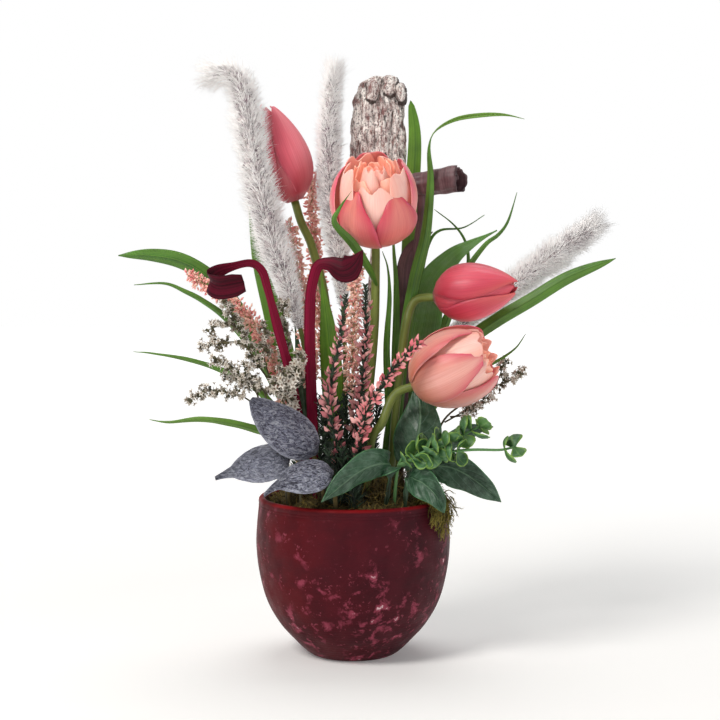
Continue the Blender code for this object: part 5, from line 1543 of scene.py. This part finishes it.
def make_heathers(finishes, needles):
    bract = bract_form()
    for name, (root, path, shoots) in HEATHERS.items():
        shapes = Shapes()
        [line] = add_branches(shapes, root, path, 1.3, (), 1)
        places, ways, shares = spread_round(line, 2.8, 0.2, (0.0, 1.57, 3.14, 4.71), 1.0)
        ways = unit(ways + random.normal(0, 0.16, ways.shape))
        kept = random.uniform(0, 1, len(places)) >= bare_share(name, shares)
        places, ways, shares = places[kept], ways[kept], shares[kept]
        count = len(places)
        out = ways * (random.uniform(0.8, 5.5, count) * (1.15 - 0.5 * shares) * MM)[:, None]
        wide = random.uniform(1.7, 2.4, count) * (1 - 0.35 * shares)
        sizes = np.column_stack([wide, wide, (8.8 - 3.6 * shares) * random.uniform(0.75, 1.1, count)])
        turned = facing(ways, unit(random.normal(0, 1, ways.shape)))
        add_copies(shapes, bract, places + out, turned, sizes, random.uniform(0, 1, count))
        add_needles(shapes, line, 0.6, 0.05, 13, 1, 0.34)
        foot = Vector(line[0])
        for k in range(shoots):
            turn = k * GOLDEN_ANGLE
            tall = TALL_SHOOT if name == "heather_middle" and k >= LOW_SHOOTS else LOW_SHOOT
            out = Vector((math.cos(turn), math.sin(turn), 0)) * (7 + 1.2 * k) * MM
            shoot = [foot + out * 0.4, foot + out + Vector((0, 0, 0.57 * tall * MM)),
                     foot + out * 1.25 + Vector((0, 0, tall * MM))]
            add_needles(shapes, shoot, 1.1, 0.3, 12, 1)
        add_needles(shapes, line, 1.3, 0.34, 8.5, 1)
        shapes.piece(name + "_bracts", [finishes[name], needles], [name], 40)


# The pale eucalyptus sprig
EUCALYPTUS_ROOT = (28, -35)
EUCALYPTUS_LONG = 1
EUCALYPTUS_STEMS = (
    ((33, 137, -50), (45, 145, -58), (57, 152, -59), (75, 157, -58), (91, 165, -56)),
    ((33, 136, -50), (45, 141, -60), (58, 145, -63), (84, 148, -63), (106, 148, -60), (116, 150, -58)),
    ((33, 137, -50), (40, 140, -62), (50, 146, -67), (66, 151, -68)),
)


def make_eucalyptus(leaf, stem):
    shapes = Shapes()
    spoon = spoon_form()
    for number, path in enumerate(EUCALYPTUS_STEMS):
        line, skip = (spots(path), 0.3) if number else ([rooted(*EUCALYPTUS_ROOT), *spots(path)], 0.5)
        add_stem(shapes, line, (1.3, 1.1, 0.8), 30, 8, 0.5, 1)
        for at, ahead, side, share in ringed(line, 6.4, skip):
            if number == EUCALYPTUS_LONG and 0.6 < share < 0.85:
                continue
            for way, size in ((side, 1.0), (-side, 0.85)):
                heading = unit(way + ahead * 0.45 + random.normal(0, 0.2, 3))
                turned = facing(heading[None], unit(ahead + random.normal(0, 0.5, 3)))
                sizes = [(7.2 * size, 6.6 * size, 13.5 * size * random.uniform(0.8, 1.05))]
                add_copies(shapes, spoon, at[None], turned, sizes, [random.uniform(0, 0.6) + 0.4 * share])
    shapes.piece("eucalyptus_leaves", [leaf, stem], ["eucalyptus_sprig"])


# Grey seed pods
POD_SHAPES = {"plump": (0.2, 0.66, 0.9, 1, 1, 0.94, 0.82, 0.64, 0.42, 0.12),
              "beaked": (0.2, 0.72, 0.95, 1, 0.96, 0.82, 0.58, 0.28, 0.17, 0.1)}
PODS = {
    # name: blunt end, beaked end, half width, half thickness, shape, bend, the way its broad side faces,
    # its root
    "seed_pod_top": ((-26, 145, -54), (-75, 183, -53), 14, 9, "plump", 2, (0.2, -0.95, 0.2), (-18, -44)),
    "seed_pod_left": ((-45, 143, -42), (-100, 129, -46), 13, 8, "beaked", -2, (0, -0.8, 0.6), (-46, -30)),
    "seed_pod_front": ((-14, 132, -66), (-66, 122, -71), 11.5, 7, "beaked", -8, (-0.1, -0.8, 0.6),
                       (-12, -52)),
}


def make_pods(finish, stalk):
    for number, (name, row) in enumerate(PODS.items()):
        blunt, beak, half_width, half_thickness, shape, hook, face, root = row
        start, stop = spot(*blunt), spot(*beak)
        along = (stop - start).normalized()
        normal = (Vector(face) - along * along.dot(Vector(face))).normalized()
        side = along.cross(normal)
        length = (stop - start).length
        rows, facets = 72, 60
        s = np.linspace(0, 1, rows + 1)
        radii = spread_evenly(POD_SHAPES[shape], s) * half_width
        radii = radii * np.clip(0.35 + s * 12, 0, 1)
        line = np.column_stack([s * length, 0 * s, 0 * s])
        rings, out = tube_grid(line, radii, facets, AWAY)
        x, y, z = np.moveaxis(rings, -1, 0)
        edge = np.abs(z) / (half_width * MM)
        rim = np.abs(out[..., 2])
        thin = half_thickness / half_width * (1.1 - 0.45 * edge)
        bend = hook * MM * np.clip(x / length - 0.6, 0, 1) ** 2 / 0.16
        keel = 1.2 * MM * np.clip((rim - 0.93) / 0.07, 0, 1) * np.clip(radii / 6, 0.2, 1)[:, None]
        drawn_out = rings.reshape(-1, 3) * np.array((0.6, 1, 1.3))
        wrinkles = rough_field(drawn_out, 190, number * 3.0, 5).reshape(x.shape)
        swell = 0.9 * MM * wrinkles * np.clip(radii / 6, 0.3, 1)[:, None]
        z = z * 1.05 + bend + np.sign(z) * keel
        y = y * thin + np.sign(y) * swell * (1 - rim)
        grid = np.array(start) + x[..., None] * along + z[..., None] * side + y[..., None] * normal
        shapes = Shapes()
        # Each pod's tint: the top one darker, the left one high for painted light against the shade on it.
        add_tube(shapes, grid, (0.25, 0.85, 0.55)[number])
        # Across holds the rim, where the finish paints a highlight.
        shapes.places[-1][:rim.size, 0] = rim.ravel()
        foot = rooted(*root)
        raised = foot.lerp(start, 0.6) + Vector((0, 0, 4 * MM))
        add_stem(shapes, [foot, raised, start + along * 5 * MM], (1.6, 1.6), 20, 8, 0.3, 1)
        shapes.piece(name + "_dry", [finish, stalk], [name])


def make_stage():
    mesh = bpy.data.meshes.new("floor")
    half = 4.0
    corners = [(-half, -half, 0), (half, -half, 0), (half, half, 0), (-half, half, 0)]
    mesh.from_pydata(corners, [], [(0, 1, 2, 3)])
    floor = bpy.data.objects.new("floor", mesh)
    bpy.context.scene.collection.objects.link(floor)
    paint = Finish("pale_floor", 0.9, Emission_Color=(1, 1, 1, 1), Specular_IOR_Level=0.1)
    paint.body = paint.mix(paint.noise(3, 2), "#F2F1EF", "#F6F5F3")
    distance = paint.node("ShaderNodeVectorMath", operation="LENGTH")
    paint.wire(paint.where, distance.inputs[0])
    glow = paint.within(distance.outputs["Value"], 0.3, 2.2, 0.12, 0.85)
    paint.wire(glow, paint.shader.inputs["Emission Strength"])
    mesh.materials.append(paint.made())


def area_light(name, place, size, power, tone=(1, 1, 1)):
    data = bpy.data.lights.new(name, "AREA")
    data.energy = power
    data.color = tone
    data.shape = "DISK"
    data.size = size
    lamp = bpy.data.objects.new(name, data)
    lamp.location = place
    aimed = Vector((0, 0, 0.22)) - Vector(place)
    lamp.rotation_euler = aimed.to_track_quat("-Z", "Y").to_euler()
    bpy.context.scene.collection.objects.link(lamp)


def make_lights_and_camera():
    world = bpy.data.worlds.new("studio")
    world.use_nodes = True
    nodes, links = world.node_tree.nodes, world.node_tree.links
    way, split, share = (nodes.new("ShaderNode" + kind) for kind in ("TexCoord", "SeparateXYZ", "MapRange"))
    behind, both = nodes.new("ShaderNodeMapRange"), nodes.new("ShaderNodeMath")
    links.new(way.outputs["Generated"], split.inputs[0])
    links.new(split.outputs["Z"], share.inputs[0])
    links.new(split.outputs["Y"], behind.inputs[0])
    for ramp, values in ((share, (0.14, 0.5, 1.0, 0.3)), (behind, (-0.4, 0.5, 0.5, 1.0))):
        for socket, value in zip(list(ramp.inputs)[1:5], values):
            socket.default_value = value
    both.operation = "MULTIPLY"
    links.new(share.outputs[0], both.inputs[0])
    links.new(behind.outputs[0], both.inputs[1])
    links.new(both.outputs[0], nodes["Background"].inputs["Strength"])
    nodes["Background"].inputs["Color"].default_value = (1, 1, 1, 1)
    bpy.context.scene.world = world
    area_light("key", (-0.9, -1.1, 1.5), 0.7, 25, (1.0, 0.98, 0.95))
    area_light("fill", (1.3, -0.9, 0.7), 1.2, 3, (0.96, 0.98, 1.0))
    area_light("top", (0.1, 0.5, 1.6), 1.2, 10)
    camera = bpy.data.cameras.new("view")
    camera.lens = LENS
    camera.sensor_width = 36
    eye = bpy.data.objects.new("view", camera)
    eye.location = EYE
    eye.rotation_euler = (math.pi / 2 - EYE_PITCH, 0, 0)
    bpy.context.scene.collection.objects.link(eye)
    bpy.context.scene.camera = eye
    bpy.context.scene.view_settings.view_transform = "Standard"


PETAL_SILKS = {
    # name: sides, main colour, middle (partly a painted highlight), tip, foot (partly painted shade) and
    # edge, then its glow, an emission painted in as light shining through the petal
    "pink": ("#B01C32", "#D2405A", "#F0828C", "#E66C78", "#98202C", "#E67C88", 0.0),
    "deep": ("#940A22", "#B8203E", "#E0586A", "#DC6E66", "#8E1420", "#C8485C", 0.0),
    "rosy": ("#B82C4A", "#CA4C58", "#E68478", "#C8244E", "#B8562A", "#E46E82", 0.0),
    "soft": ("#C8645C", "#DA8074", "#EAA89C", "#DC4468", "#B8682C", "#F0A8A0", 0.0),
    "pale": ("#EA8876", "#F2A898", "#FACABE", "#FACCC2", "#E86C40", "#FBDCD4", 0.05),
    "heart": ("#FA9674", "#FEAE92", "#FFCCB8", "#FFD8CA", "#F88A60", "#FFE4DA", 0.12),
    "flank": ("#D65E66", "#E67C7C", "#F4A89C", "#DC5274", "#D07848", "#F4AEA4", 0.05),
}


def build():
    make_pot(pot_finish())
    foam = foam_finish()
    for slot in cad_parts["foam"].material_slots:
        slot.material = foam
    moss = moss_finish("moss_dark", "#241D0E", "#564A26", "#8A7638")
    make_moss(moss, moss_finish("moss_light", "#3A3512", "#6B6424", "#9A8A3C"))
    silk = {name: petal_finish(f"petal_{name}_silk", *row) for name, row in PETAL_SILKS.items()}
    stem = leaf_finish("stem_olive", "#4E5A1E", "#6C7A30", "#8A9445", "#7C8A3C", ribs=9, gloss=0.5)
    grass = leaf_finish("grass_green", "#28530F", "#42781C", "#80A840", "#24480E", ribs=16)
    fresh = leaf_finish("leaf_fresh", "#355F08", "#4F7F0E", "#8AB23E", "#3E6C0A", ribs=20)
    broad = leaf_finish("leaf_soft", "#3B7423", "#559236", "#9AC474", "#68A04A", ribs=24, haze=0.3)
    dark = leaf_finish("leaf_deep", "#132A18", "#1F4022", "#3F6840", "#2C5232", ribs=20, haze=0.25)
    make_closed_bloom("tulip_bud_left", silk["pink"])
    make_closed_bloom("tulip_bud_right", silk["deep"])
    make_open_bloom("tulip_open_centre", [silk["rosy"], silk["pale"], silk["heart"], silk["flank"]])
    make_open_bloom("tulip_open_right", [silk["soft"], silk["pale"], silk["heart"], silk["flank"]])
    make_tulip_stems(stem, fresh, grass)
    make_plumes(core_finish(), fur_finish(), stem)
    make_bark_pod(bark_finish())
    make_burgundy_leaves(curl_finish())
    make_mauve_leaves(mauve_finish())
    make_grasses(grass)
    make_single_leaves({"base": veined_leaf_finish(), "leaf_upright": fresh, "leaf_broad": broad,
                        "leaf_dark_left": dark, "leaf_behind_plume": grass})
    twig = small_finish("twig_olive", ("#3E3B26", "#5C5638", "#77704A"))
    needles = small_finish("needle_green", ("#101C12", "#1C3220", "#34502E"))
    papery = small_finish("statice_papery", ("#B2A99A", "#D5CDC1", "#ECE7DF"), "#6E5442", "#6E6A46")
    make_statice(papery, twig)
    beige = small_finish("spray_beige", ("#F8DEC8", "#FACCBA", "#F4A29C", "#EA747C"), fade="#E6C8AC")
    make_pink_sprays(beige, small_finish("twig_pale", ("#B49C72", "#D0B48C", "#C49A7A")), needles)
    dusky = small_finish("heather_dusky", ("#AC5E64", "#D88E90", "#F4BAB2"), fade="#7C3A40")
    bright = small_finish("heather_bright", ("#DC6E78", "#F09698", "#FCC4BC"), fade="#B4525C")
    make_heathers({"heather_left": dusky, "heather_middle": dusky, "heather_right": bright}, needles)
    make_eucalyptus(spoon_finish(), small_finish("sprig_green", ("#3E6A3E", "#5B8A4E", "#79A25C")))
    make_pods(pod_finish(), moss)
    make_stage()
    make_lights_and_camera()


build()
